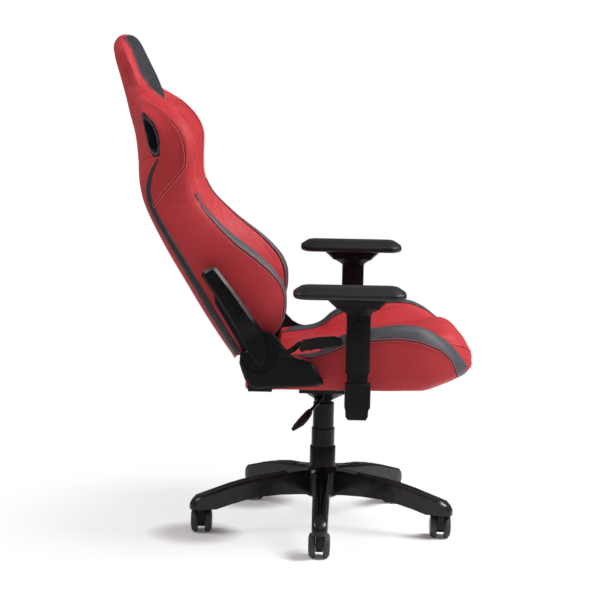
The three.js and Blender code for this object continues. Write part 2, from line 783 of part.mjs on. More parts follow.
function seatRing(y) {
  const half = seatHalfAt(y);
  const crease = Math.min(seatCrease, half * 0.62);
  const [middle, creaseZ, bolster] = [seatMiddleTop(y), seatCreaseTop(y), seatBolsterTop(y)];
  const [under, side] = [seatMiddleBottom(y), seatSideBottom(y)];
  const tall = bolster - side;
  return mirroredRing([
    [0, y, under], [half * 0.5, y, under], [half - 36, y, Math.max(under, side - 8)],
    [half - 12, y, side + 0.03 * tall], [half - 1, y, side + 0.2 * tall], [half, y, side + 0.5 * tall],
    [half - 4, y, side + 0.8 * tall], [half - 13, y, side + 0.95 * tall], [half - 28, y, bolster],
    [half - 44, y, THREE.MathUtils.lerp(bolster, creaseZ, 0.16)],
    [THREE.MathUtils.lerp(half - 44, crease, 0.55), y, THREE.MathUtils.lerp(bolster, creaseZ, 0.72)],
    [crease, y, creaseZ], [crease - 12, y, THREE.MathUtils.lerp(creaseZ, middle, 0.65)],
    [crease * 0.5, y, middle - 1], [0, y, middle],
  ]);
}

function addSeat(chair) {
  node(chair, 'seat_frame', seatFrameGeometry(), 'steel');
  const cushion = cut(
    skin(seatStations.map(seatRing)), frameBlock(gap), hingeFootBlock(-1, gap), hingeFootBlock(1, gap),
  );
  node(chair, 'seat_cushion', cushion, 'redLeather');
}

// ---------------------------------------------------------------- backrest

/** A height measured on the real back, which ends at measuredBackTop, on a back of any height. */
function backHeight(z) {
  const stretch = (backTop - stretchFrom) / (measuredBackTop - stretchFrom);
  return z <= stretchFrom ? z : stretchFrom + (z - stretchFrom) * stretch;
}

/** A smooth curve up the backrest through [measured height, value] pairs. */
function upBack(pairs) {
  return through(pairs.map(([z, value]) => [backHeight(z), value]));
}

const backRear = upBack([
  [444, 212], [472, 233], [529, 272], [586, 308], [642, 342], [699, 377], [755, 408], [797, 429], [839, 446],
  [871, 455], [914, 463], [972, 472], [1015, 484], [1072, 496],
  [1114, 507], [1142, 516], [1171, 523], [1185, 525],
  [1199, 521], [1208, 515], [1214, 509], [1217, 503],
]);
const backMiddleFront = upBack([
  [460, 128], [500, 134], [550, 148], [600, 174], [650, 206], [700, 240], [750, 274], [800, 306],
  [850, 336], [900, 357], [950, 371], [1000, 383], [1050, 397], [1084, 411],
  [1113, 424], [1142, 439], [1170, 453], [1199, 468],
  [1209, 477], [1214, 487], [1217, 497],
]);
const backSideFront = upBack([
  [447, 150], [486, 138], [519, 122], [538, 107], [560, 97], [586, 92], [611, 92], [637, 98], [660, 110],
  [683, 130], [710, 160], [730, 187], [759, 227], [778, 249], [806, 279], [830, 298], [866, 312],
  [900, 315], [957, 314], [977, 317], [1011, 332], [1048, 365], [1070, 396], [1085, 422], [1100, 442],
  [1118, 455], [1149, 468], [1176, 479], [1200, 489], [1209, 493], [1214, 496], [1217, 498],
]);
const backHalfAt = upBack([
  [447, backHalfWidth - 12], [520, backHalfWidth - 5], [600, backHalfWidth], [700, backHalfWidth],
  [780, backHalfWidth - 4], [840, backHalfWidth - 7], [900, backHalfWidth - 4], [950, backHalfWidth],
  [985, backHalfWidth - 2], [1010, backHalfWidth - 9], [1035, backHalfWidth - 26],
  [1055, backHalfWidth - 52], [1075, backHalfWidth - 84], [1090, backHalfWidth - 103],
  [1110, backHalfWidth - 112], [1140, backHalfWidth - 117],
  [1170, backHalfWidth - 124], [1190, backHalfWidth - 138],
  [1203, backHalfWidth - 160], [1211, backHalfWidth - 186],
  [1217, backHalfWidth - 222],
]);
const backFlatHalf = upBack([
  [447, 195], [600, 210], [800, 205], [860, 188], [900, 160], [940, 132], [1000, 118], [1040, 114],
  [1080, 108], [1120, 104], [1160, 94], [1190, 74], [1207, 42], [1217, 14],
]);
const backSlant = upBack([
  [447, 22], [560, 25], [720, 26], [819, 24], [858, 34], [893, 48], [928, 66], [971, 74], [1006, 73],
  [1036, 56], [1060, 46], [1085, 38], [1160, 30], [1200, 14],
  [1211, 7], [1217, 2],
]);
const backCrease = upBack([
  [447, 150], [850, 150], [900, 134], [950, 120], [1000, 112], [1050, 106], [1085, 95], [1118, 86],
  [1149, 82], [1176, 75], [1200, 54], [1209, 36], [1217, 10],
]);
const creaseDepth = upBack([
  [447, 6], [600, 12], [850, 12], [950, 10], [1050, 10], [1085, 18], [1118, 21], [1149, 19.5], [1176, 17],
  [1200, 12], [1210, 6], [1217, 0.5],
]);
const headRoundness = upBack([[1040, 0], [1085, 1], [1217, 1]]);
const backStations = [
  0, 0.04, 0.09, 0.14, 0.2, 0.26, 0.32, 0.38, 0.44, 0.5, 0.55, 0.6, 0.65, 0.69,
  0.725, 0.755, 0.785, 0.815, 0.86, 0.91, 0.95, 0.973, 0.989, 1,
];

/** A point of one of the lines that run up the backrest, numbered from rear middle to front middle. */
function backPoint(line, z) {
  const [half, flat, rear] = [backHalfAt(z), backFlatHalf(z), backRear(z)];
  const [front, middle] = [backSideFront(z), backMiddleFront(z)];
  const [slant, crease, dip] = [backSlant(z), backCrease(z), creaseDepth(z)];
  const roll = Math.min(1, half / 150);
  const crown = THREE.MathUtils.lerp(crease - 14 * roll, 0.6 * crease, headRoundness(z));
  const corner = rear - slant;
  const depth = corner - front;
  const lines = [
    [0, rear], [flat, rear - 0.2 * slant],
    [THREE.MathUtils.lerp(flat, half, 0.55), rear - 0.5 * slant], [half - 12 * roll, rear - 0.85 * slant],
    [half - 2 * roll, corner - 0.06 * depth], [half, corner - 0.5 * depth],
    [half - 4 * roll, front + 0.18 * depth], [half - 14 * roll, front + 0.05 * depth],
    [half - 30 * roll, front],
    [half - 46 * roll, THREE.MathUtils.lerp(front, middle + dip, 0.18)],
    [THREE.MathUtils.lerp(half - 46 * roll, crease, 0.6), THREE.MathUtils.lerp(front, middle + dip, 0.75)],
    [crease, middle + dip], [crown, middle + 0.35 * dip], [0, middle],
  ];
  return [lines[line][0], lines[line][1], z];
}

const backLineCount = 14;
const frontLine = 6;

function backRing(station) {
  const half = [];
  for (let line = 0; line < backLineCount; line += 1) {
    const bottom = THREE.MathUtils.lerp(backBottomRear, backBottomFront, Math.min(1, line / frontLine));
    half.push(backPoint(line, THREE.MathUtils.lerp(bottom, backTop, station)));
  }
  return mirroredRing(half);
}

const slotOutline = [
  [139, 966], [150, 950], [168, 943], [194, 944], [208, 953], [212, 972], [206, 994], [190, 1011],
  [164, 1018], [136, 1017], [126, 1006], [128, 988],
].map(([x, z]) => [x, backHeight(z)]);
const headrestOutline = [
  [0, 9], [38, 11], [66, 21], [82, 43], [88, 72], [86, 99], [68, 125], [34, 145], [0, 155],
].map(([x, below]) => [x, backTop - below]);
const slotFront = 250;
const slotRear = 520;
const slotLean = 1;
const slotMiddleY = 364;
const slotFall = 0.75;
const slotMouthY = 417;
const slotLinerGap = gap * Math.hypot(1, slotLean, slotFall);
const headrestMiddleZ = backTop - 77;
const headrestFront = 380;
const headrestRear = 530;

function headrestPrism(clearance) {
  const half = headrestOutline.map(([x, z]) => {
    const onMiddle = x === 0;
    return onMiddle ? [0, z + clearance * Math.sign(z - headrestMiddleZ)] : [x + clearance, z];
  });
  const mirror = half.slice(1, -1).reverse().map(([x, z]) => [-x, z]);
  return acrossY([...half, ...mirror], headrestFront, headrestRear);
}

const tubePath = [
  [213, 205, 552], [214, 262, 640], [211, 330, 740], [196, 384, 836], [140, 408, 898], [102, 420, 945],
  [96, 432, 1010], [88, 452, 1075], [50, 466, 1112], [0, 468, 1120],
].map(([x, y, z]) => [x, y, backHeight(z)]);
const clampY = 236;
const clampZ = 606;

function mirroredPath(path) {
  return [...path, ...path.slice(0, -1).reverse().map(([x, y, z]) => [-x, y, z])];
}

/** The steel tube and its two hinge arms; clearance makes the space that they fill in the foam. */
function backFrameParts(clearance) {
  const parts = [alongPath(mirroredPath(tubePath), frameTubeRadius + clearance, 6, 30)];
  for (const side of [-1, 1]) {
    const end = clearance > 0 ? backArmOuter + 10 : backArmOuter - 0.5;
    const pin = barX(clampPinRadius + clearance, clampPinInner, end, clampY, clampZ, 8);
    parts.push(handed(pin, side));
  }
  return parts;
}

/** Flat steel arm from the recline pivot up to the clamp on the tube. */
function backArmOutline() {
  return [
    [138, 452], [160, 444], [182, 452], [194, 474], [204, 500], [262, 596], [264, 616], [250, 630],
    [230, 628], [212, 612], [134, 512], [124, 482],
  ];
}

function backFrameGeometry() {
  const arms = [-1, 1].map((side) => handed(cut(
    acrossX(backArmOutline(), backArmInner, backArmOuter),
    barX(running(pivotPinRadius), backArmInner - 1, backArmOuter + 1, pivotY, pivotZ),
  ), side));
  return join(...backFrameParts(0), ...arms);
}

/** A left-hand slot's shape, running inwards and down from the rear corner of the wing to its front. */
function leaningSlot(outline, y0, y1) {
  const [inward, down] = [-slotLean * slotMiddleY, -slotFall * slotMouthY];
  const lean = new THREE.Matrix4().set(
    1, slotLean, 0, inward, 0, 1, 0, 0, 0, slotFall, 1, down, 0, 0, 0, 1,
  );
  return closed(acrossY(outline, y0, y1).applyMatrix4(lean));
}

function addBackrest(chair) {
  const body = skin(backStations.map(backRing));
  const slots = [-1, 1].map((side) => handed(leaningSlot(slotOutline, slotFront, slotRear), side));
  const under = body.clone().translate(0, headrestPanelDepth, 0);
  const recess = cut(headrestPrism(gap), under);
  const panel = common(cut(headrestPrism(0), body.clone().translate(0, headrestPanelDepth - gap, 0)), body);
  node(chair, 'back_cushion', cut(body, ...slots, recess, ...backFrameParts(gap)), 'redLeather');
  node(chair, 'headrest_panel', panel, 'blackLeather');
  node(chair, 'back_frame', backFrameGeometry(), 'steel');
  for (const [name, side] of [['right', -1], ['left', 1]]) {
    const outer = leaningSlot(grown(slotOutline, -slotLinerGap), slotFront, slotRear);
    const inner = leaningSlot(grown(slotOutline, -slotWall), slotFront - 5, slotRear + 5);
    const bezel = common(cut(outer, inner), body);
    node(chair, `harness_bezel_${name}`, handed(bezel, side), 'plastic');
  }
}

// ---------------------------------------------------------------- recline hinge

const hingeInner = backArmOuter + gap;
const hingeOuter = hingeInner + hingePlateThickness;
const sideCoverInner = hingeOuter + gap;
const sideCoverOuter = sideCoverInner + sideCoverThickness;
const armCoverInner = sideCoverOuter + sideGap;
const armCoverOuter = armCoverInner + armCoverThickness;

/** The seat's half of the recliner: a toothed disc's plate, the pivot pin and a foot under the frame. */
function hingePlateGeometry() {
  const plate = acrossX([
    [hingeFootRear - hingeFootWidth, seatBottom], [hingeFootRear, seatBottom], [184, 420], [198, 462],
    [197, 490], [182, 508], [160, 514], [136, 508], [120, 490], [116, 460],
  ], hingeInner, hingeOuter);
  const foot = block(
    frameHalfWidth - hingeFootInset, hingeOuter, hingeFootRear - hingeFootWidth, hingeFootRear,
    seatBottom, seatBottom + hingePlateThickness,
  );
  const pinEnd = armCoverOuter - 4 - armCoverStep;
  const pin = barX(pivotPinRadius, backArmInner + gap, pinEnd, pivotY, pivotZ);
  return join(plate, foot, pin);
}

const sideCoverOutline = [
  [203, 458], [197, 439], [189, 418], [176, 401], [160, 397], [20, 406], [5, 412], [6, 420], [28, 458],
  [40, 465],
  [66, 470], [82, 479], [96, 493], [116, 520], [132, 531], [150, 533], [160, 515], [187, 487], [201, 484],
];

function sideCoverGeometry() {
  const plate = facedX(sideCoverOutline, sideCoverInner, sideCoverOuter, sideCoverChamfer);
  return cut(
    plate,
    barX(pivotDiscRadius, sideCoverOuter - pivotDiscDepth, sideCoverOuter + 5, pivotY, pivotZ, 32),
    barX(running(pivotPinRadius), sideCoverInner - 1, sideCoverOuter + 1, pivotY, pivotZ),
  );
}

const armCoverOutline = [
  [293, 663], [292, 670], [283, 679], [268, 687], [258, 682], [220, 634], [165, 558], [148, 532], [139, 505],
  [140, 470], [150, 455], [160, 457], [185, 491], [214, 543], [261, 617],
];
const armCoverBlock = [
  [289, 664], [281, 674], [268, 681], [260, 677], [224, 632], [183, 576], [198, 548], [214, 556], [256, 618],
];

// The cover's face slopes down to the tongue between these distances along its lean.
const [stepOriginY, stepStart, stepEnd] = [150, 47, 86];
const [capY, capZ, capRadius] = [225, 599, 11];

/** The backrest's side cover: a thin tongue over the pivot, and a deep box with a cap above it. */
function armCoverGeometry() {
  const tongue = facedX(armCoverOutline, armCoverInner, armCoverOuter, armCoverChamfer);
  const box = acrossX(armCoverBlock, backArmOuter + gap, armCoverInner + 3);
  const panel = [[224, 604], [250, 641], [243, 649], [213, 611], [196, 583], [206, 575]];
  const [low, face, reach] = [armCoverOuter - armCoverStep, armCoverOuter + 1, 80];
  const slopeEnd = stepStart + ((stepEnd - stepStart) * (face - low)) / armCoverStep;
  const step = acrossY(
    [[low, -reach], [low, stepStart], [face, slopeEnd], [face + 5, -reach]], -reach, reach,
  ).rotateX(-armCoverLean).translate(0, stepOriginY, pivotZ);
  const cap = barX(capRadius, armCoverOuter - 4, armCoverOuter - 0.4, capY, capZ, 24);
  return join(cut(
    join(tongue, box),
    step,
    acrossX(panel, armCoverOuter - 1.5, armCoverOuter + 5),
    barX(running(pivotPinRadius), armCoverInner - 1, armCoverOuter - 3 - armCoverStep, pivotY, pivotZ),
  ), cap);
}

const reclineInner = sideCoverOuter + gap;

/** The recline lever's steel arm; its pin turns in the right side cover. */
function reclineLeverGeometry() {
  const arm = acrossX([
    [112, 480], [112, 489], [105, 493], [90, 494], [78, 503], [66, 513], [20, 517], [20, 507], [62, 502],
    [72, 490], [86, 482], [102, 475],
  ], reclineInner, reclineInner + reclineThickness);
  const pinEnd = sideCoverOuter - reclinePinDepth;
  return join(arm, barX(reclinePinRadius, pinEnd, reclineInner + 1, reclineY, reclineZ));
}

/** The moulded grip, with finger hollows along its underside. */
function reclineGripGeometry() {
  const fingers = 4;
  const under = [];
  for (let i = 0; i <= fingers * 4; i += 1) {
    const t = i / (fingers * 4);
    const wave = 2.2 * Math.abs(Math.sin(Math.PI * fingers * t));
    under.push([THREE.MathUtils.lerp(-34, 58, t), THREE.MathUtils.lerp(505, 489, t) + wave]);
  }
  const grip = acrossX([
    ...under, [63, 494], [64, 508], [56, 517], [20, 524], [-18, 527], [-34, 523], [-38, 514],
  ], reclineInner - 5.5, reclineInner + 10.5, 2);
  const arm = acrossX([[18, 518], [18, 506], [62, 501], [72, 489], [80, 515]],
    reclineInner - gap, reclineInner + reclineThickness + gap);
  return cut(grip, arm);
}

function addHinges(chair) {
  const boreEnd = sideCoverOuter - reclinePinDepth - 1;
  for (const [name, side] of [['right', -1], ['left', 1]]) {
    const bore = barX(running(reclinePinRadius), boreEnd, sideCoverOuter + 1, reclineY, reclineZ);
    const cover = side < 0 ? cut(sideCoverGeometry(), bore) : sideCoverGeometry();
    node(chair, `hinge_plate_${name}`, handed(hingePlateGeometry(), side), 'steel');
    node(chair, `side_cover_${name}`, handed(cover, side), 'plastic');
    node(chair, `back_arm_cover_${name}`, handed(armCoverGeometry(), side), 'plastic');
  }
  node(chair, 'recline_lever', handed(reclineLeverGeometry(), -1), 'steel');
  node(chair, 'recline_grip', handed(reclineGripGeometry(), -1), 'plastic');
}

// ---------------------------------------------------------------- armrests

const barTop = 555;
const bendZ = 340;
const footRise = plateTop - barThickness;

/** The bent steel bar, from under the seat frame out and up into the armrest. */
function armBracketGeometry() {
  const half = barThickness / 2;
  const outline = [
    [half, barTop], [half, bendZ + 6], [half - 3, bendZ + 1.5], [half - 7, bendZ], [-90, bendZ],
    [-118, footRise], [-195, footRise], [-195, plateTop], [-115, plateTop], [-88, bendZ + barThickness],
    [-half - 4, bendZ + barThickness], [-half, bendZ + barThickness + 4], [-half, barTop],
  ];
  return acrossY(outline, -barWidth / 2, barWidth / 2);
}

/** The fixed cover round the bar, and the inner tube that the sleeve slides on. */
function armLowerCoverGeometry() {
  const [front, rear] = [-31, 29];
  const half = sleeveWidth / 2;
  const shell = acrossX([
    [front, lowerCoverTopZ], [front, 366], [front + 4, 361], [front + 5, 345],
    [front + 10, lowerCoverBottomZ], [rear - 9, lowerCoverBottomZ],
    [rear - 3, 344], [rear - 2, 361], [rear, 366], [rear, lowerCoverTopZ],
  ], -half, half, 2);
  const tube = upward(
    roundedRectangle(innerTubeWidth, innerTubeDepth, 5, 0, 0, 2), lowerCoverTopZ - 5, barTop + 5,
  );
  const barSpace = block(
    -barThickness / 2 - gap, barThickness / 2 + gap, -barWidth / 2 - gap, barWidth / 2 + gap,
    bendZ - gap, barTop + gap,
  );
  const footSpace = block(-half - 1, barThickness / 2 + gap, -barWidth / 2 - gap, barWidth / 2 + gap,
    bendZ - gap, bendZ + barThickness + 6);
  return cut(join(shell, tube), barSpace, footSpace);
}

const triggerZ = 560;
const triggerProud = 3;
const triggerTravel = 2.2;
const triggerOutline = roundedRectangle(13, 24, 6.4, 0, triggerZ, 4);

/** The sliding sleeve: a tall tube that flares into the table under the pad. */
function armSleeveGeometry() {
  const ring = (width, depth, middle, z) => (
    roundedRectangle(width, depth, 7, 0, middle, 2).map(([x, y]) => [x, y, z])
  );
  const shell = skin([
    ring(sleeveWidth, sleeveDepth, 0, sleeveBottom), ring(sleeveWidth, sleeveDepth, 0, sleeveFlareStart),
    ring(42, 64, 1, 590), ring(56, 84, 2, 597), ring(64, tableFootLength, tableMiddle, sleeveTop - gap),
  ]);
  const hollow = upward(
    roundedRectangle(innerTubeWidth + 2 * gap, innerTubeDepth + 2 * gap, 5, 0, 0, 2), sleeveBottom - 1,
    sleeveFlareStart,
  );
  const pocketFloor = sleeveWidth / 2 - triggerTravel - 1;
  const pocket = acrossX(grown(triggerOutline, gap), pocketFloor, sleeveWidth / 2 + 1);
  const pivotBore = barZ(running(padPivotRadius), sleeveTop - padPivotDepth - 1, sleeveTop + 1);
  return cut(shell, hollow, pocket, pivotBore);
}

function armTriggerGeometry() {
  const outer = sleeveWidth / 2 + triggerProud;
  return acrossX(triggerOutline, sleeveWidth / 2 - 0.8, outer, 0.8);
}

const padBaseTop = sleeveTop + padBaseThickness;
const swivelButtonZ = sleeveTop + 6;

/** A button in the face at X = -face, and the pocket that it is pressed into. */
function button(face, y, z, halfHeight) {
  return block(
    -face - buttonProud, -face + buttonDepth, y - buttonHalfLength, y + buttonHalfLength,
    z - halfHeight, z + halfHeight,
  );
}

function buttonPocket(face, y, z, halfHeight) {
  const half = buttonHalfLength + gap;
  return block(
    -face - 1, -face + buttonPocketDepth, y - half, y + half, z - halfHeight - gap, z + halfHeight + gap,
  );
}

/** The turntable under the pad, with its pivot below and the pad's rail on top. */
function armPadBaseGeometry() {
  const ring = (length, z) => (
    roundedRectangle(2 * tableHalfWidth, length, 16, 0, tableMiddle, 3).map(([x, y]) => [x, y, z])
  );
  const plate = skin([
    ring(tableFootLength, sleeveTop), ring(tableLength - 8, padBaseTop - 5),
    ring(tableLength, padBaseTop - 1), ring(tableLength - 3, padBaseTop),
  ]);
  const rail = block(
    -railWidth / 2, railWidth / 2, tableMiddle - railLength / 2, tableMiddle + railLength / 2,
    padBaseTop - 2, padBaseTop + railHeight,
  );
  const pivot = barZ(padPivotRadius, sleeveTop - padPivotDepth, sleeveTop + 2);
  const pocket = buttonPocket(tableHalfWidth, 0, swivelButtonZ, swivelButtonHalfHeight);
  return cut(join(plate, rail, pivot), pocket);
}

function swivelButtonGeometry() {
  return button(tableHalfWidth, 0, swivelButtonZ, swivelButtonHalfHeight);
}

const padButtonY = -74;
const padButtonZ = padBaseTop + 10;

/** The pad: a rounded slab with softened edges, a groove for the rail and a button pocket. */
function armPadGeometry() {
  const bottom = padBaseTop + gap;
  const ring = (inset, z) => roundedRectangle(
    padWidth - 2 * inset, padLength - 2 * inset, 30 - inset * 0.5, 0, padMiddle, 5,
  ).map(([x, y]) => [x, y, z]);
  const slab = skin([
    ring(9, bottom), ring(3, bottom + 3), ring(0, bottom + 7), ring(0, bottom + 13),
    ring(2.5, bottom + 16), ring(18, bottom + padThickness - 2), ring(26, bottom + padThickness),
  ]);
  const grooveHalf = (railLength + padTravel * 2) / 2 + gap;
  const groove = block(
    -railWidth / 2 - gap, railWidth / 2 + gap, tableMiddle - grooveHalf, tableMiddle + grooveHalf,
    bottom - 1, padBaseTop + railHeight + gap,
  );
  return cut(slab, groove, buttonPocket(padWidth / 2, padButtonY, padButtonZ, padButtonHalfHeight));
}

function padButtonGeometry() {
  return button(padWidth / 2, padButtonY, padButtonZ, padButtonHalfHeight);
}

function addArmrests(chair) {
  const arms = [['right', -1, 0, 0], ['left', 1, leftArmRaise, leftPadForward]];
  for (const [name, side, raise, forward] of arms) {
    const post = groupAt(chair, side * armX, armY, 0);
    const slider = groupAt(post, 0, 0, raise);
    const pad = groupAt(slider, 0, -forward, 0);
    node(post, `arm_bracket_${name}`, handed(armBracketGeometry(), side), 'steel');
    node(post, `arm_lower_cover_${name}`, handed(armLowerCoverGeometry(), side), 'plastic');
    node(slider, `arm_sleeve_${name}`, handed(armSleeveGeometry(), side), 'plastic');
    node(slider, `arm_trigger_${name}`, handed(armTriggerGeometry(), side), 'plastic');
    node(slider, `arm_pad_base_${name}`, handed(armPadBaseGeometry(), side), 'plastic');
    node(slider, `arm_swivel_button_${name}`, handed(swivelButtonGeometry(), side), 'plastic');
    node(pad, `arm_pad_${name}`, handed(armPadGeometry(), side), 'softPad');
    node(pad, `arm_pad_button_${name}`, handed(padButtonGeometry(), side), 'plastic');
  }
}

// ---------------------------------------------------------------- the chair

const chair = new THREE.Group();
chair.position.set(0, columnY, 0);
addBase(chair);
addColumn(chair);
addMechanism(chair);
addSeat(chair);
addBackrest(chair);
addHinges(chair);
addArmrests(chair);

export default chair;
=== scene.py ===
"""A racing-style swivel chair: upholstery, finishes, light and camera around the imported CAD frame.

Shape tables are in millimetres, with the origin on the floor under the lift column; `metres` turns
them into the frame's metres. The chair faces -Y, and its right side, which the photograph shows, is
on -X. Every soft piece is built from the same profiles as the solid that it replaces.
"""

import math

import bpy
import bmesh
import numpy as np
from mathutils import Matrix, Vector
from mathutils.bvhtree import BVHTree
from mathutils.kdtree import KDTree


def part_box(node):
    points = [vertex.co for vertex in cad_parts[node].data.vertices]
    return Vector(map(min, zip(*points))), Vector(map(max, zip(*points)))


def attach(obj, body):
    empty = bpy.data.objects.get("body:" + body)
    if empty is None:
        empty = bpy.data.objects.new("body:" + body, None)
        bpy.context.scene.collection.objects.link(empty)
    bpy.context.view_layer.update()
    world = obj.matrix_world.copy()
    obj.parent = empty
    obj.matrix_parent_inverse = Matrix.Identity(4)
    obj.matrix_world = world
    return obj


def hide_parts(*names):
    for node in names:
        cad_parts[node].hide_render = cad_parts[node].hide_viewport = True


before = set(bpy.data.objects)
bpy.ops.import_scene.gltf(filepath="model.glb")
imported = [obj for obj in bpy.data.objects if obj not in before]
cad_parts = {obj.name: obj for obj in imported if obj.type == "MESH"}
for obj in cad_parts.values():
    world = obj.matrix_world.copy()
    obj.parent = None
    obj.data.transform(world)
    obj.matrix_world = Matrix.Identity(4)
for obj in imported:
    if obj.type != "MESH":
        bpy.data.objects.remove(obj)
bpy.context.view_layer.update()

scene = bpy.context.scene
COLUMN_OFFSET = np.array([0.0, -81.0, 0.0])
SIDES = (("right", -1), ("left", 1))


def metres(points):
    return (np.asarray(points, float) + COLUMN_OFFSET) / 1000


def millimetres(points):
    return np.asarray(points, float) * 1000 - COLUMN_OFFSET


def linked(name, data):
    """A new object around the data, in the scene."""
    made = bpy.data.objects.new(name, data)
    scene.collection.objects.link(made)
    return made


# ---- camera

PHOTO_SIZE = 600
FOCAL_PIXELS = 1994.5
SENSOR = 36.0
CAMERA_DISTANCE = 4866.3
CAMERA_HEIGHT = 1273.2
CAMERA_TURN = math.radians(0.751)
CAMERA_ROLL = math.radians(1.1187)
CAMERA_TARGET = (0.0, 63.8, 571.1)


def add_camera():
    data = bpy.data.cameras.new("camera")
    data.sensor_width = SENSOR
    data.lens = SENSOR * FOCAL_PIXELS / PHOTO_SIZE
    camera = linked("camera", data)
    eye = Vector(metres((-CAMERA_DISTANCE * math.cos(CAMERA_TURN),
                         CAMERA_DISTANCE * math.sin(CAMERA_TURN), CAMERA_HEIGHT)))
    forward = (Vector(metres(CAMERA_TARGET)) - eye).normalized()
    right = forward.cross(Vector((0, 0, 1))).normalized()
    up = right.cross(forward)
    turned_right = math.cos(CAMERA_ROLL) * right + math.sin(CAMERA_ROLL) * up
    turned_up = math.cos(CAMERA_ROLL) * up - math.sin(CAMERA_ROLL) * right
    axes = Matrix((turned_right, turned_up, -forward)).transposed()
    camera.matrix_world = Matrix.Translation(eye) @ axes.to_4x4()
    scene.camera = camera


add_camera()
scene.view_settings.view_transform = "Standard"


# ---- node helpers

def add_node(tree, kind, inputs=None, **settings):
    """A node with its settings, and its inputs set to values or linked to sockets."""
    made = tree.nodes.new(kind)
    for key, value in settings.items():
        setattr(made, key, value)
    for key, value in (inputs or {}).items():
        if isinstance(value, bpy.types.NodeSocket):
            tree.links.new(value, made.inputs[key])
        else:
            made.inputs[key].default_value = value
    return made


class Finish:
    """A material with a Principled shader, and short calls for the nodes that feed it."""

    def __init__(self, name, coordinates="Object", **constants):
        self.material = bpy.data.materials.new(name)
        self.material.use_nodes = True
        self.tree = self.material.node_tree
        self.shader = self.tree.nodes["Principled BSDF"]
        self.where = self.node("ShaderNodeTexCoord").outputs[coordinates]
        for key, value in constants.items():
            socket = self.shader.inputs[key.replace("_", " ")]
            socket.default_value = (*value, 1.0) if isinstance(value, tuple) else value

    def node(self, kind, inputs=None, **settings):
        return add_node(self.tree, kind, inputs, **settings)

    def scaled(self, scale):
        return self.node("ShaderNodeMapping", {"Vector": self.where, "Scale": scale}).outputs[0]

    def noise(self, scale, detail=2.0, roughness=0.5, where=None):
        return self.node("ShaderNodeTexNoise", {
            "Vector": where or self.where, "Scale": scale, "Detail": detail,
            "Roughness": roughness}).outputs["Fac"]

    def cells(self, scale):
        return self.node("ShaderNodeTexVoronoi", {"Vector": self.where, "Scale": scale},
                         feature="DISTANCE_TO_EDGE").outputs["Distance"]

    def math(self, operation, *values):
        return self.node("ShaderNodeMath", dict(enumerate(values)), operation=operation).outputs[0]

    def between(self, value, low, high, to_low=0.0, to_high=1.0):
        return self.node("ShaderNodeMapRange", {
            "Value": value, "From Min": low, "From Max": high, "To Min": to_low,
            "To Max": to_high}).outputs[0]

    def mix(self, factor, dark, light):
        made = self.node("ShaderNodeMix", {0: factor}, data_type="RGBA")
        for index, colour in ((6, dark), (7, light)):
            if isinstance(colour, tuple):
                made.inputs[index].default_value = (*colour, 1.0)
            else:
                self.tree.links.new(colour, made.inputs[index])
        return made.outputs[2]

    def bump(self, height, distance, below=None):
        inputs = {"Height": height, "Distance": distance, "Strength": 1.0}
        if below:
            inputs["Normal"] = below
        return self.node("ShaderNodeBump", inputs).outputs[0]

    def pointed(self):
        """Above 0.5 on sharp edges and below it in creases."""
        return self.node("ShaderNodeNewGeometry").outputs["Pointiness"]

    def feed(self, colour, rough, normal):
        for key, socket in (("Base Color", colour), ("Roughness", rough), ("Normal", normal)):
            self.tree.links.new(socket, self.shader.inputs[key])
        return self.material


# Pointiness ranges of the painted shade in creases, the painted highlight on crests and the painted
# highlight on edges.
PAINTED_CREASE_RANGE, CREST_HIGHLIGHT_RANGE, EDGE_HIGHLIGHT_RANGE = (0.46, 0.5), (0.52, 0.56), (0.51, 0.6)
CREASE_SHADE = 0.45


def leather(name, dark, light, highlight_colour, roughness=(0.36, 0.5)):
    """Coated upholstery leather: pebbled grain, slow wrinkles, painted shade in the creases and a
    painted highlight on the crests.
    """
    finish = Finish(name, Specular_IOR_Level=0.22)
    blotches = finish.mix(finish.noise(9, 4), dark, light)
    # Darker in creases, where pointiness is low: painted shade.
    painted_crease_shade = finish.between(finish.pointed(), *PAINTED_CREASE_RANGE)
    shaded = finish.mix(painted_crease_shade, tuple(c * CREASE_SHADE for c in dark), blotches)
    # Paler on crests, where pointiness is high: painted highlight.
    painted_crest_highlight = finish.between(finish.pointed(), *CREST_HIGHLIGHT_RANGE, 0.0, 0.5)
    colour = finish.mix(painted_crest_highlight, shaded, highlight_colour)
    grain = finish.cells(720)
    pores = finish.noise(1500, 2)
    wrinkles = finish.noise(38, 5, 0.6)
    normal = finish.bump(wrinkles, 0.0014)
    normal = finish.bump(finish.between(grain, 0.0, 0.12), 0.00016, normal)
    normal = finish.bump(pores, 0.00008, normal)
    rough = finish.between(finish.noise(30, 3), 0.3, 0.7, *roughness)
    return finish.feed(colour, rough, normal)


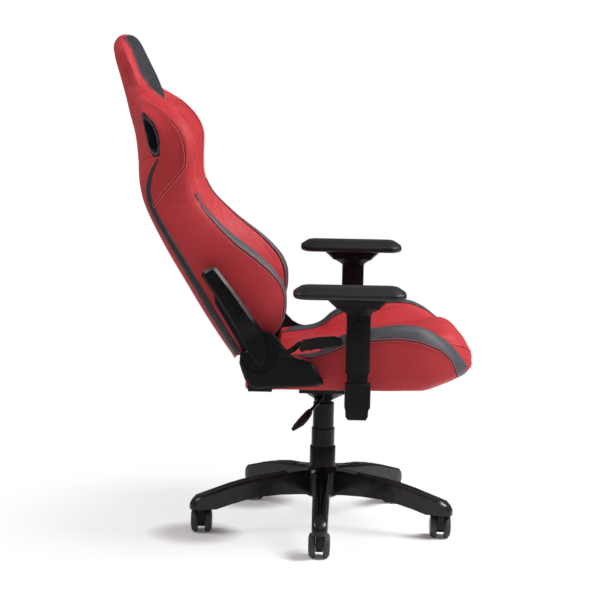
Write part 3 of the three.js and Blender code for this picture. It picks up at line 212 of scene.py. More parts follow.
def weave(name, dark, light, coordinates, pitch, depth, roughness, specular):
    """A two-by-two twill, as embossed in the black trim and in the armrest pads."""
    finish = Finish(name, coordinates, Specular_IOR_Level=specular)
    parts = finish.node("ShaderNodeSeparateXYZ", {0: finish.where}).outputs
    across = finish.math("DIVIDE", parts[0], pitch)
    along = finish.math("DIVIDE", parts[1], pitch)
    steps = finish.math("ADD", finish.math("FLOOR", across), finish.math("FLOOR", along))
    phase = finish.math("FLOORED_MODULO", steps, 4.0)
    warp_on_top = finish.math("LESS_THAN", phase, 1.5)

    def ridge(count):
        turn = finish.math("MULTIPLY", finish.math("FRACT", count), math.pi)
        return finish.math("SINE", turn)

    warp = finish.math("MULTIPLY", ridge(across), warp_on_top)
    weft = finish.math("MULTIPLY", ridge(along), finish.math("SUBTRACT", 1.0, warp_on_top))
    height = finish.math("ADD", warp, finish.math("MULTIPLY", weft, 0.8))
    tone = finish.math("ADD", finish.math("MULTIPLY", warp_on_top, 0.55),
                       finish.math("MULTIPLY", height, 0.45))
    colour = finish.mix(tone, dark, light)
    normal = finish.bump(height, depth)
    normal = finish.bump(finish.noise(40, 4), 0.0008, normal)
    rough = finish.between(height, 0.0, 1.0, roughness + 0.15, roughness - 0.05)
    return finish.feed(colour, rough, normal)


def moulded(name, base, highlight_colour, roughness, grain=900, depth=0.00006, flow=0.0003, **constants):
    """Moulded or painted hard surface: fine texture, slow waviness and a painted highlight on its
    edges.
    """
    finish = Finish(name, **constants)
    # Paler on sharp edges, in noise patches: painted highlight.
    painted_edge_highlight = finish.between(finish.pointed(), *EDGE_HIGHLIGHT_RANGE)
    patches = finish.between(finish.noise(60, 4), 0.3, 0.7, 0.25, 1.0)
    darker, paler = (tuple(c * share for c in base) for share in (0.85, 1.2))
    tint = finish.mix(finish.noise(16, 3), darker, paler)
    colour = finish.mix(finish.math("MULTIPLY", painted_edge_highlight, patches), tint, highlight_colour)
    normal = finish.bump(finish.noise(22, 2), flow)
    normal = finish.bump(finish.noise(grain, 3, 0.6), depth, normal)
    rough = finish.between(finish.noise(45, 3), 0.3, 0.7, roughness - 0.05, roughness + 0.07)
    return finish.feed(colour, rough, normal)


def wheel_finish():
    """A caster wheel: a satin tread ring around a glossier domed hub, in one moulding, with painted
    shade in the groove between them.
    """
    finish = Finish("wheel_nylon", "Generated", Specular_IOR_Level=0.18)
    middle = finish.node("ShaderNodeVectorMath", {0: finish.where, 1: (0.5, 0.5, 0.5)},
                         operation="SUBTRACT").outputs[0]
    flat = finish.node("ShaderNodeVectorMath", {0: middle, 1: (1.0, 0.0, 1.0)},
                       operation="MULTIPLY").outputs[0]
    radius = finish.node("ShaderNodeVectorMath", {0: flat}, operation="LENGTH").outputs["Value"]
    tread = finish.between(radius, 0.425, 0.435)
    groove = finish.math("MULTIPLY", finish.between(radius, 0.405, 0.415),
                         finish.between(radius, 0.435, 0.425))
    speckle = finish.noise(60, 3)
    hub = finish.mix(speckle, (0.010, 0.010, 0.012), (0.02, 0.02, 0.023))
    ring = finish.mix(speckle, (0.03, 0.03, 0.033), (0.05, 0.05, 0.054))
    # Near black in the groove between hub and tread: painted shade.
    colour = finish.mix(groove, finish.mix(tread, hub, ring), (0.004, 0.004, 0.004))
    normal = finish.bump(finish.math("SUBTRACT", 1.0, groove), 0.0006)
    normal = finish.bump(finish.noise(120, 3), 0.00015, normal)
    return finish.feed(colour, finish.between(tread, 0.0, 1.0, 0.24, 0.52), normal)


def chrome_finish():
    finish = Finish("bright_steel", Metallic=1.0, Anisotropic=0.3)
    drawn = finish.noise(1.0, 3, where=finish.scaled((400.0, 400.0, 12.0)))
    colour = finish.mix(drawn, (0.52, 0.52, 0.54), (0.7, 0.7, 0.72))
    return finish.feed(colour, finish.between(drawn, 0.2, 0.8, 0.1, 0.26),
                       finish.bump(drawn, 0.00003))


def thread_finish(name, dark, light):
    finish = Finish(name, Specular_IOR_Level=0.3, Sheen_Weight=0.3)
    twist = finish.noise(2600, 2)
    return finish.feed(finish.mix(twist, dark, light), finish.between(twist, 0.2, 0.8, 0.5, 0.75),
                       finish.bump(twist, 0.0001))


# In the leather and moulded finishes, the last colour given is the painted highlight on crests and
# edges.
FINISHES = {
    "red_upholstery": leather("red_leather", (0.37, 0.021, 0.027), (0.47, 0.033, 0.040),
                              (0.56, 0.075, 0.085)),
    "black_upholstery": leather("black_leather", (0.016, 0.0165, 0.020), (0.026, 0.027, 0.032),
                                (0.06, 0.06, 0.068), (0.34, 0.46)),
    "black_weave": weave("black_weave", (0.016, 0.016, 0.020), (0.085, 0.087, 0.105), "UV",
                         0.0019, 0.0003, 0.38, 0.35),
    "arm_pad_pu": weave("arm_pad_pu", (0.006, 0.0058, 0.0074), (0.0135, 0.0132, 0.0165), "Object",
                        0.0016, 0.00006, 0.4, 0.3),
    "base_nylon": moulded("base_nylon", (0.005, 0.005, 0.0062), (0.02, 0.02, 0.024), 0.2,
                          depth=0.00001, flow=0.00005, Specular_IOR_Level=0.22),
    "black_plastic": moulded("black_plastic", (0.0036, 0.0032, 0.0038), (0.02, 0.019, 0.022), 0.3,
                             depth=0.00005, flow=0.0001, Specular_IOR_Level=0.14),
    "liner_plastic": moulded("liner_plastic", (0.026, 0.029, 0.041), (0.07, 0.08, 0.10), 0.2,
                             depth=0.00003, Specular_IOR_Level=0.5),
    "black_steel": moulded("black_steel", (0.0045, 0.0045, 0.005), (0.03, 0.03, 0.034), 0.36,
                           grain=1300, depth=0.00008, Specular_IOR_Level=0.16),
    "grip_rubber": moulded("grip_rubber", (0.005, 0.005, 0.0055), (0.016, 0.016, 0.018), 0.5,
                           grain=500, depth=0.00015, Specular_IOR_Level=0.2),
    "bright_steel": chrome_finish(),
    "wheel_nylon": wheel_finish(),
    "red_thread": thread_finish("red_thread", (0.55, 0.05, 0.055), (0.8, 0.14, 0.15)),
}


# ---- studio

FLOOR_RADIUS, FLOOR_STEPS = 2.6, 64
FLOOR_COLOUR = (0.9, 0.9, 0.9, 1)
SHADOW_FADE, SHADOW_SHARE = (0.5, 0.9), 0.3
CASTER_RING, CASTER_TURN, CASTER_COUNT = 0.325, math.radians(178.6), 5
CASTER_SHADE, CASTER_SHARE = (0.05, 0.17), 0.95
WHITE = (1, 1, 1, 1)
AMBIENT = 0.18
LAMPS = (("top_front", (-0.5, -2.2, 2.9), (0.0, -0.1, 0.6), (1.7, 1.4), 172),
         ("top_rear", (-0.5, 2.4, 2.7), (0.0, 0.1, 0.7), (1.6, 1.2), 52),
         ("side", (-2.9, -0.4, 3.3), (0.0, 0.0, 0.7), (1.8, 1.8), 10))


def seen_directly(tree):
    """1 for rays that show the backdrop: from the camera or through glass."""
    path = add_node(tree, "ShaderNodeLightPath").outputs
    return add_node(tree, "ShaderNodeMath",
                    {0: path["Is Camera Ray"], 1: path["Is Transmission Ray"]},
                    operation="MAXIMUM").outputs[0]


def direct_or_lit(tree, lit, direct, output):
    """Shows one shader to rays that see the backdrop, and the other to the light."""
    mixed = add_node(tree, "ShaderNodeMixShader",
                     {0: seen_directly(tree), 1: lit.outputs[0], 2: direct.outputs[0]})
    add_node(tree, output, {"Surface": mixed.outputs[0]})


def shade_share(tree, distance, reach, share):
    """A share that falls softly to nothing over the reach."""
    return add_node(tree, "ShaderNodeMapRange", {
        "Value": distance, "From Min": reach[0], "From Max": reach[1], "To Min": share,
        "To Max": 0.0}, interpolation_type="SMOOTHSTEP").outputs[0]


def add_world():
    world = bpy.data.worlds.new("studio")
    world.use_nodes = True
    scene.world = world
    tree = world.node_tree
    tree.nodes.clear()
    lit, white = (add_node(tree, "ShaderNodeBackground", {"Color": WHITE, "Strength": strength})
                  for strength in (AMBIENT, 1.0))
    direct_or_lit(tree, lit, white, "ShaderNodeOutputWorld")


def add_floor():
    """A pale floor that keeps the soft shadows and runs out into the white backdrop."""
    mesh = bpy.data.meshes.new("floor")
    angles = [2 * math.pi * i / FLOOR_STEPS for i in range(FLOOR_STEPS)]
    ring = [(FLOOR_RADIUS * math.cos(angle), FLOOR_RADIUS * math.sin(angle), 0.0) for angle in angles]
    mesh.from_pydata(ring, [], [tuple(range(FLOOR_STEPS))])
    floor = linked("floor", mesh)
    floor.location = Vector(metres((0, 0, 0)))
    material = bpy.data.materials.new("floor")
    material.use_nodes = True
    tree = material.node_tree
    tree.nodes.clear()
    where = add_node(tree, "ShaderNodeTexCoord").outputs["Object"]
    radius = add_node(tree, "ShaderNodeVectorMath", {0: where}, operation="LENGTH").outputs["Value"]
    share = shade_share(tree, radius, SHADOW_FADE, SHADOW_SHARE)
    for index in range(CASTER_COUNT):
        angle = CASTER_TURN + 2 * math.pi * index / CASTER_COUNT
        foot = (CASTER_RING * math.cos(angle), CASTER_RING * math.sin(angle), 0.0)
        away = add_node(tree, "ShaderNodeVectorMath", {0: where, 1: foot}, operation="DISTANCE")
        near = shade_share(tree, away.outputs["Value"], CASTER_SHADE, CASTER_SHARE)
        share = add_node(tree, "ShaderNodeMath", {0: share, 1: near}, operation="MAXIMUM").outputs[0]
    lit = add_node(tree, "ShaderNodeBsdfDiffuse", {"Color": FLOOR_COLOUR})
    white = add_node(tree, "ShaderNodeEmission", {"Color": WHITE, "Strength": 1.0})
    shown = add_node(tree, "ShaderNodeMixShader", {0: share, 1: white.outputs[0], 2: lit.outputs[0]})
    direct_or_lit(tree, lit, shown, "ShaderNodeOutputMaterial")
    mesh.materials.append(material)


def add_lamp(name, spot, aim, size, power):
    data = bpy.data.lights.new(name, "AREA")
    data.shape = "RECTANGLE"
    data.size, data.size_y = size
    data.energy = power
    lamp = linked(name, data)
    lamp.location = spot
    lamp.rotation_euler = (Vector(aim) - Vector(spot)).to_track_quat("-Z", "Y").to_euler()


add_world()
add_floor()
for lamp in LAMPS:
    add_lamp(*lamp)


# ---- curves and meshes

def through(pairs):
    """A smooth function through [t, value] pairs that never overshoots them."""
    t, value = np.array(sorted(pairs), float).T
    slope = np.diff(value) / np.diff(t)
    tangent = np.r_[slope[0], np.zeros(len(t) - 2), slope[-1]]
    before, after = slope[:-1], slope[1:]
    agree = before * after > 0
    tangent[1:-1][agree] = (2 * before * after)[agree] / (before + after)[agree]

    def at(x):
        x = np.clip(x, t[0], t[-1])
        i = np.clip(np.searchsorted(t, x) - 1, 0, len(t) - 2)
        span = t[i + 1] - t[i]
        u = (x - t[i]) / span
        return ((1 + 2 * u) * (1 - u) ** 2 * value[i] + u * u * (3 - 2 * u) * value[i + 1]
                + span * (u * (1 - u) ** 2 * tangent[i] + u * u * (u - 1) * tangent[i + 1]))

    return at


def lerp(a, b, t):
    return a + (b - a) * t


def rounded(rings, steps=5):
    """Centripetal Catmull-Rom curves through closed rings of points."""
    before, start, end, after = (np.roll(rings, shift, axis=1) for shift in (1, 0, -1, -2))

    def knot(a, b):
        return np.sqrt(np.maximum(np.linalg.norm(b - a, axis=2, keepdims=True), 1e-3))

    t1 = knot(before, start)
    t2 = t1 + knot(start, end)
    t3 = t2 + knot(end, after)
    parts = []
    for step in range(steps):
        t = lerp(t1, t2, step / steps)
        a1 = lerp(before, start, t / t1)
        a2 = lerp(start, end, (t - t1) / (t2 - t1))
        a3 = lerp(end, after, (t - t2) / (t3 - t2))
        b1 = lerp(a1, a2, t / t2)
        b2 = lerp(a2, a3, (t - t1) / (t3 - t1))
        parts.append(lerp(b1, b2, (t - t1) / (t2 - t1)))
    return np.stack(parts, axis=2).reshape(len(rings), -1, 3)


def add_mesh(name, points, faces, material=None, smooth=True):
    """A mesh object from points in millimetres."""
    mesh = bpy.data.meshes.new(name)
    mesh.from_pydata(metres(points).tolist(), [], faces)
    made = linked(name, mesh)
    if material:
        mesh.materials.append(FINISHES[material])
    mesh.polygons.foreach_set("use_smooth", [smooth] * len(mesh.polygons))
    mesh.update()
    return made


def loft(rings):
    """Points and outward faces of a closed skin over rings, with flat ends."""
    count, around = rings.shape[:2]
    faces = []
    for low in range(0, (count - 1) * around, around):
        high = low + around
        for j in range(around):
            k = (j + 1) % around
            faces.append((low + j, low + k, high + k, high + j))
    faces.append(tuple(range(around))[::-1])
    faces.append(tuple((count - 1) * around + j for j in range(around)))
    return rings.reshape(-1, 3), faces


def outward(made):
    """Turns every face of a closed mesh outwards."""
    work = bmesh.new()
    work.from_mesh(made.data)
    bmesh.ops.recalc_face_normals(work, faces=work.faces)
    work.to_mesh(made.data)
    work.free()
    made.data.update()
    return made


def modified(made, kind, **settings):
    """Adds a modifier with its settings."""
    modifier = made.modifiers.new(kind.lower(), kind)
    for key, value in settings.items():
        setattr(modifier, key, value)
    return modifier


def applied(made):
    """Replaces an object's mesh by the result of its modifiers."""
    bpy.context.view_layer.update()
    evaluated = made.evaluated_get(bpy.context.evaluated_depsgraph_get())
    result = bpy.data.meshes.new_from_object(evaluated)
    made.modifiers.clear()
    made.data = result
    return made


def vertex_values(made, key):
    values = np.empty(len(made.data.vertices) * 3)
    made.data.vertices.foreach_get(key, values)
    return values.reshape(-1, 3)


def positions(made):
    return millimetres(vertex_values(made, "co"))


def normals(made):
    return vertex_values(made, "normal")


def set_positions(made, points):
    made.data.vertices.foreach_set("co", metres(points).ravel())
    made.data.update()


def cut_away(made, cutter):
    modified(made, "BOOLEAN", object=cutter, operation="DIFFERENCE", solver="EXACT")
    applied(made)
    bpy.data.objects.remove(cutter)


def dressed(made, body, slot, *replaced):
    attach(made, body)
    if replaced:
        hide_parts(*replaced)
    return made


# ---- cushion profiles

SEAT_HALF = through([
    (190, 244), (120, 248), (-150, 250), (-222, 249), (-281, 240), (-311, 226), (-331, 207),
    (-346, 177), (-355, 142), (-360, 104), (-363.5, 58)])
SEAT_MIDDLE_TOP = through([
    (190, 408), (122, 411), (118, 430), (112, 456), (62, 466), (-39, 480), (-140, 494), (-240, 514),
    (-273, 524), (-290, 525), (-312, 518), (-328, 503), (-348, 476), (-358, 458), (-364, 443)])
SEAT_CREASE_TOP = through([
    (190, 408), (122, 411), (118, 428), (112, 449), (62, 456), (-39, 468), (-140, 481), (-240, 497),
    (-273, 503), (-290, 503), (-312, 497), (-328, 485), (-348, 464), (-358, 453), (-364, 443)])
SEAT_BOLSTER_TOP = through([
    (190, 407), (122, 411), (118, 430), (112, 468), (29, 480), (5, 492), (-17, 513), (-53, 531),
    (-110, 543), (-173, 551), (-212, 549), (-246, 537), (-278, 515), (-304, 491), (-323, 466),
    (-335, 452), (-350, 445), (-364, 438)])
SEAT_SIDE_BOTTOM = through([
    (190, 389), (-141, 389), (-222, 396), (-281, 411), (-311, 421), (-331, 430), (-364, 440)])
SEAT_MIDDLE_BOTTOM = through([
    (190, 389), (-220, 389), (-270, 392), (-305, 400), (-331, 411), (-348, 423), (-356, 432),
    (-364, 442)])
SEAT_STATIONS = np.r_[np.linspace(190, 125, 6), np.linspace(123, 110, 8), np.linspace(105, -290, 60),
                      np.linspace(-294, -363.5, 28)]


def seat_crease(half):
    return np.minimum(150, half * 0.62)


def seat_rings():
    y = SEAT_STATIONS
    half, bolster, side = SEAT_HALF(y), SEAT_BOLSTER_TOP(y), SEAT_SIDE_BOTTOM(y)
    middle, crease_z, under = SEAT_MIDDLE_TOP(y), SEAT_CREASE_TOP(y), SEAT_MIDDLE_BOTTOM(y)
    tall, crease = bolster - side, seat_crease(half)
    line = [
        (0 * y, under), (0.5 * half, under), (half - 36, np.maximum(under, side - 8)),
        (half - 12, side + 0.03 * tall), (half - 1, side + 0.2 * tall), (half, side + 0.5 * tall),
        (half - 4, side + 0.8 * tall), (half - 13, side + 0.95 * tall), (half - 28, bolster),
        (half - 44, lerp(bolster, crease_z, 0.16)),
        (lerp(half - 44, crease, 0.55), lerp(bolster, crease_z, 0.72)), (crease, crease_z),
        (crease - 12, lerp(crease_z, middle, 0.65)), (0.5 * crease, middle - 1), (0 * y, middle),
    ]
    near = [np.stack((x, y, z), axis=1) for x, z in line]
    far = [points * (-1, 1, 1) for points in near[-2:0:-1]]
    return np.stack(near + far, axis=1)


BACK_REAR = through([
    (444, 212), (472, 233), (529, 272), (586, 308), (642, 342), (699, 377), (755, 408), (797, 429),
    (839, 446), (871, 455), (914, 463), (972, 472), (1015, 484), (1072, 496), (1114, 507),
    (1142, 516), (1171, 523), (1185, 525), (1199, 521), (1208, 515), (1214, 509), (1217, 503)])
BACK_MIDDLE_FRONT = through([
    (460, 128), (500, 134), (550, 148), (600, 174), (650, 206), (700, 240), (750, 274), (800, 306),
    (850, 336), (900, 357), (950, 371), (1000, 383), (1050, 397), (1084, 411), (1113, 424),
    (1142, 439), (1170, 453), (1199, 468), (1209, 477), (1214, 487), (1217, 497)])
BACK_SIDE_FRONT = through([
    (447, 150), (486, 138), (519, 122), (538, 107), (560, 97), (586, 92), (611, 92), (637, 98),
    (660, 110), (683, 130), (710, 160), (730, 187), (759, 227), (778, 249), (806, 279), (830, 298),
    (866, 312), (900, 315), (957, 314), (977, 317), (1011, 332), (1048, 365), (1070, 396),
    (1085, 422), (1100, 442), (1118, 455), (1149, 468), (1176, 479), (1200, 489), (1209, 493),
    (1214, 496), (1217, 498)])
BACK_HALF = through([
    (447, 238), (520, 245), (600, 250), (700, 250), (780, 246), (840, 243), (900, 246), (950, 250),
    (985, 248), (1010, 241), (1035, 224), (1055, 198), (1075, 166), (1090, 147), (1110, 138),
    (1140, 133), (1170, 126), (1190, 112), (1203, 90), (1211, 64), (1217, 28)])
BACK_FLAT_HALF = through([
    (447, 195), (600, 210), (800, 205), (860, 188), (900, 160), (940, 132), (1000, 118), (1040, 114),
    (1080, 108), (1120, 104), (1160, 94), (1190, 74), (1207, 42), (1217, 14)])
BACK_SLANT = through([
    (447, 22), (560, 25), (720, 26), (819, 24), (858, 34), (893, 48), (928, 66), (971, 74),
    (1006, 73), (1036, 56), (1060, 46), (1085, 38), (1160, 30), (1200, 14), (1211, 7), (1217, 2)])
BACK_CREASE = through([
    (447, 150), (850, 150), (900, 134), (950, 120), (1000, 112), (1050, 106), (1085, 95), (1118, 86),
    (1149, 82), (1176, 75), (1200, 54), (1209, 36), (1217, 10)])
CREASE_DEPTH = through([
    (447, 6), (600, 12), (850, 12), (950, 10), (1050, 10), (1085, 18), (1118, 21), (1149, 19.5),
    (1176, 17), (1200, 12), (1210, 6), (1217, 0.5)])
HEAD_ROUNDNESS = through([(1040, 0), (1085, 1), (1217, 1)])
BACK_BOTTOM, BACK_SIDE_BOTTOM, BACK_TOP = 447, 486, 1217
BACK_LINES = 14


def back_line(line, z):
    """Where one lengthwise line of the right-hand half of the back lies at heights z."""
    half, rear, front = BACK_HALF(z), BACK_REAR(z), BACK_SIDE_FRONT(z)
    flat, slant, crease = BACK_FLAT_HALF(z), BACK_SLANT(z), BACK_CREASE(z)
    middle, dip = BACK_MIDDLE_FRONT(z), CREASE_DEPTH(z)
    roll = np.minimum(1, half / 150)
    corner = rear - slant
    depth = corner - front
    crown = lerp(crease - 14 * roll, 0.6 * crease, HEAD_ROUNDNESS(z))
    return [
        (0 * z, rear), (flat, rear - 0.2 * slant),
        (lerp(flat, half, 0.55), rear - 0.5 * slant),
        (half - 12 * roll, rear - 0.85 * slant), (half - 2 * roll, corner - 0.06 * depth),
        (half, corner - 0.5 * depth), (half - 4 * roll, front + 0.18 * depth),
        (half - 14 * roll, front + 0.05 * depth), (half - 30 * roll, front),
        (half - 46 * roll, lerp(front, middle + dip, 0.18)),
        (lerp(half - 46 * roll, crease, 0.6), lerp(front, middle + dip, 0.75)),
        (crease, middle + dip), (crown, middle + 0.35 * dip), (0 * z, middle),
    ][line]


def back_rings(count=110):
    station = np.linspace(0, 1, count)
    near = []
    for line in range(BACK_LINES):
        bottom = lerp(BACK_BOTTOM, BACK_SIDE_BOTTOM, min(1, line / 6))
        z = lerp(bottom, BACK_TOP, station)
        x, y = back_line(line, z)
        near.append(np.stack((x, y, z), axis=1))
    far = [points * (-1, 1, 1) for points in near[-2:0:-1]]
    return np.stack(near + far, axis=1)


SLOT_OUTLINE = [
    (139, 966), (150, 950), (168, 943), (194, 944), (208, 953), (212, 972), (206, 994), (190, 1011),
    (164, 1018), (136, 1017), (126, 1006), (128, 988)]
SLOT_DEPTH = (240, 540)
SLOT_MIDDLE_Y, SLOT_MOUTH_Y, SLOT_FALL = 364, 417, 0.75


def slot_cutter(side):
    """The slot's prism, which runs inwards and down from the rear corner of the wing to its front."""
    outline = np.array([(side * x, 0, z) for x, z in SLOT_OUTLINE])[None]
    curve = rounded(outline, 4)[0]
    rings = np.stack([curve + (side * (y - SLOT_MIDDLE_Y), y, SLOT_FALL * (y - SLOT_MOUTH_Y))
                      for y in SLOT_DEPTH])
    return outward(add_mesh("slot_cutter", *loft(rings), smooth=False))


# ---- surfaces and seams

def spaced(points, pitch):
    """Points at an even pitch along a polyline."""
    points = np.asarray(points, float)
    length = np.r_[0, np.cumsum(np.linalg.norm(np.diff(points, axis=0), axis=1))]
    at = np.linspace(0, length[-1], max(2, int(round(length[-1] / pitch)) + 1))
    return np.stack([np.interp(at, length, points[:, k]) for k in range(points.shape[1])], axis=1)


def eased(points, rounds=3):
    """A polyline with its corners rounded off and its ends kept."""
    points = np.asarray(points, float)
    for _ in range(rounds):
        inner = 0.25 * points[:-2] + 0.5 * points[1:-1] + 0.25 * points[2:]
        points = np.vstack((points[:1], inner, points[-1:]))
    return points


LINE_PITCH, MARK_PITCH = 3, 1.5
OUTSIDE, BEYOND, FLANK_X, INNER_X = 600, 900, 235.0, 60


class Skin:
    """The outer surface of a cushion, for putting seams, trim and stitches on it."""

    def __init__(self, made):
        points = positions(made)
        faces = [tuple(face.vertices) for face in made.data.polygons]
        self.tree = BVHTree.FromPolygons(points.tolist(), faces)

    def ray(self, origin, direction):
        spot, normal, _, _ = self.tree.ray_cast(Vector(origin), Vector(direction))
        return (spot, normal) if spot else (None, None)

    def nearest(self, point):
        spot, normal, _, _ = self.tree.find_nearest(Vector(point))
        return spot, normal

    def across(self, a, b, shares):
        """Points and normals on the skin from a to b, over whatever crest lies between them."""
        mean = np.add(*(np.array(self.nearest(point)[1]) for point in (a, b)))
        mean /= max(np.linalg.norm(mean), 1e-9)
        pivot = (a + b) / 2 - mean * max(0.8 * np.linalg.norm(b - a), 6.0)
        start, end = Vector(a - pivot).normalized(), Vector(b - pivot).normalized()
        found = []
        for share in shares:
            spot, normal = self.ray(pivot, start.slerp(end, share))
            if spot is None:
                spot, normal = self.nearest(lerp(a, b, share))
            found.append((spot, normal))
        return found

    def near(self, points):
        """The line on the skin that lies closest to a polyline of (x, y, z) points."""
        return eased([self.nearest(point)[0] for point in spaced(points, LINE_PITCH)])

    def from_side(self, side, pairs):
        """The line that (y, z) pairs mark on the skin, seen square from one side."""
        found = []
        for y, z in spaced(pairs, LINE_PITCH):
            spot, _ = self.ray((side * OUTSIDE, y, z), (-side, 0, 0))
            if spot is None or abs(spot.x) < INNER_X:
                spot, _ = self.nearest((side * FLANK_X, y, z))
            found.append(spot)
        return eased(found)

    def cast(self, pairs, axis, start):
        """The line that pairs of the other two coordinates mark, cast along an axis from start."""
        direction = [0, 0, 0]
        direction[axis] = 1 if start < 0 else -1
        found = [self.ray(np.insert(pair, axis, start), direction)[0]
                 for pair in spaced(pairs, LINE_PITCH)]
        return eased([spot for spot in found if spot])

    def from_front(self, pairs):
        return self.cast(pairs, 1, -OUTSIDE)

    def from_rear(self, pairs):
        return self.cast(pairs, 1, BEYOND)

    def from_above(self, pairs):
        return self.cast(pairs, 2, BEYOND)


def seam_distance(points, lines):
    """How far each point lies from the nearest of the lines."""
    marks = np.vstack([spaced(line, MARK_PITCH) for line in lines.values()])
    tree = KDTree(len(marks))
    for index, mark in enumerate(marks):
        tree.insert(mark, index)
    tree.balance()
    return np.array([tree.find(point)[2] for point in points])


# The seams and trim edges: (y, z) pairs for a line seen from the side, (x, z) or (x, y) pairs for one
# seen from the front, the rear or above, and (x, y, z) points on the right-hand side for the others.
BACK_PANEL_Z = np.arange(490.0, 1056.0, 12)
SEAT_PANEL_Y = np.arange(104.0, -262.0, -10)
BACK_TRIM_OUTER = [
    (307, 852), (297, 819), (277, 794), (250, 765), (218, 734), (179, 706), (143, 677), (119, 652),
    (105, 629), (101, 613), (101, 589), (104, 562), (109, 538), (120, 512), (137, 492)]
BACK_TRIM_INNER = [
    (215, 852), (212, 838), (211, 800), (209, 740), (208, 680), (208, 600), (207, 540), (204, 496)]
WING_EDGE = [
    (-170, 451, 1066), (-190, 429, 1054), (-212, 398, 1034), (-228, 368, 1011), (-238, 349, 989),
    (-240, 340, 966), (-240, 336, 940), (-238, 338, 913)]
WING_DIAGONAL = [(411, 817), (387, 851), (359, 884), (338, 913)]
WING_FRONT = [
    (-150, 380, 1050), (-172, 366, 1043), (-194, 338, 1018), (-208, 324, 996), (-215, 313, 966),
    (-216, 314, 951), (-216, 318, 919), (-217, 319, 881), (-217, 310, 853)]
WING_TIP = [(-238, 338, 913), (-227, 326, 931), (-216, 314, 951)]
HEAD_SEAM = [
    (-150, 460, 1053), (-148, 454, 1069), (-144, 440, 1078), (-128, 426, 1083), (-112, 416, 1085)]
BAND = [
    (401, 928), (410, 911), (417, 893), (424, 858), (416, 819), (393, 777), (357, 719), (310, 642),
    (262, 561), (212, 481), (196, 462)]
BAND_WIDTH = through([(455, 23), (560, 21), (700, 18), (850, 13.5), (900, 9.5), (928, 1.5)])
REAR_SEAMS = ([(0, 1007), (120, 1008), (170, 1010), (203, 1013)],
              [(0, 910), (120, 911), (165, 915), (188, 925), (212, 931), (233, 935), (243, 938)])
SEAT_TRIM_OUTER = [
    (40, 466), (0, 478), (-40, 496), (-70, 506), (-102, 512), (-172, 517), (-220, 511), (-267, 493),
    (-296, 467), (-307, 440), (-311, 425)]
SEAT_TRIM_INNER = [
    (-188, 108), (-190, 60), (-194, 10), (-200, -40), (-204, -100), (-206, -160), (-206, -220),
    (-200, -268), (-188, -300), (-178, -322), (-172, -336)]
SEAT_TRIM_TIP = [(-173, -337, 446), (-179, -334, 436), (-192, -327, 424)]
NOSE_SEAM = [
    (-180, -303, 503), (-165, -310, 498), (-130, -328, 483), (-80, -346, 466), (-40, -357, 452),
    (0, -362, 447)]


def on_side(points, sign):
    """Points with their first coordinate, x, times the sign."""
    points = np.array(points, float)
    points[:, 0] *= sign
    return points


def back_seams(skin):
    lines = {}
    for name, side in SIDES:
        for key, pairs in (("outer", BACK_TRIM_OUTER), ("wing_diagonal", WING_DIAGONAL),
                           ("band", BAND)):
            lines[f"{key}_{name}"] = skin.from_side(side, pairs)
        for key, points in (("wing_edge", WING_EDGE), ("wing_front", WING_FRONT),
                            ("wing_tip", WING_TIP), ("head_seam", HEAD_SEAM)):
            lines[f"{key}_{name}"] = skin.near(on_side(points, -side))
        panel = [(BACK_CREASE(z), z) for z in BACK_PANEL_Z]
        lines[f"inner_{name}"] = skin.from_front(on_side(BACK_TRIM_INNER, side))
        lines[f"panel_{name}"] = skin.from_front(on_side(panel, side))
        for index, pairs in enumerate(REAR_SEAMS):
            lines[f"rear_{index}_{name}"] = skin.from_rear(on_side(pairs, side))
    return lines


def seat_seams(skin):
    lines = {}
    for name, side in SIDES:
        lines[f"outer_{name}"] = skin.from_side(side, SEAT_TRIM_OUTER)
        lines[f"inner_{name}"] = np.vstack((skin.from_above(on_side(SEAT_TRIM_INNER, -side)),
                                            skin.near(on_side(SEAT_TRIM_TIP, -side))))
        panel = [(seat_crease(SEAT_HALF(y)), y) for y in SEAT_PANEL_Y]
        lines[f"panel_{name}"] = skin.from_above(on_side(panel, side))
    lines["nose"] = skin.near(NOSE_SEAM + [(-x, y, z) for x, y, z in NOSE_SEAM[-2::-1]])
    return lines


# ---- cushions

VOXEL = 5.0
SHRINK = 3.0
SWELL_LIMIT = 5.5
PIN_REACH = 11.0
SIDE_START, SIDE_REACH = 244.0, 249.4
CLOTH_FRAMES, CLOTH_QUALITY, PRESSURE = 20, 5, 4.0
GROOVE_DEPTH, GROOVE_WIDTH, VALLEY_DEPTH, VALLEY_WIDTH = 1.8, 2.4, 0.9, 9.0


def raw_cushion(name, rings, cutters=()):
    made = outward(add_mesh(name, *loft(rounded(rings))))
    for cutter in cutters:
        cut_away(made, cutter)
    modified(made, "REMESH", mode="VOXEL", voxel_size=VOXEL / 1000, use_smooth_shade=True)
    modified(made, "SMOOTH", factor=0.5, iterations=4)
    return applied(made)


def pressed_flat(points):
    """Keeps the sides of a cushion clear of the covers beside them."""
    x = points[:, 0]
    room = SIDE_REACH - SIDE_START
    over = np.maximum(np.abs(x) - SIDE_START, 0)
    points[:, 0] = np.where(over > 0, np.sign(x) * (SIDE_START + room * np.tanh(over / room)), x)
    return points


def prepare_swelling(made, lines, held):
    """Shrinks a cushion a little and pins its seams, ready for the cloth run."""
    points = positions(made)
    distance = seam_distance(points, lines)
    hold = np.maximum(np.exp(-(distance / PIN_REACH) ** 2), held(points, normals(made)))
    set_positions(made, points - normals(made) * (SHRINK * (1 - hold))[:, None])
    group = made.vertex_groups.new(name="pin")
    for index, weight in enumerate(hold):
        group.add([index], float(weight), "REPLACE")
    return positions(made), hold


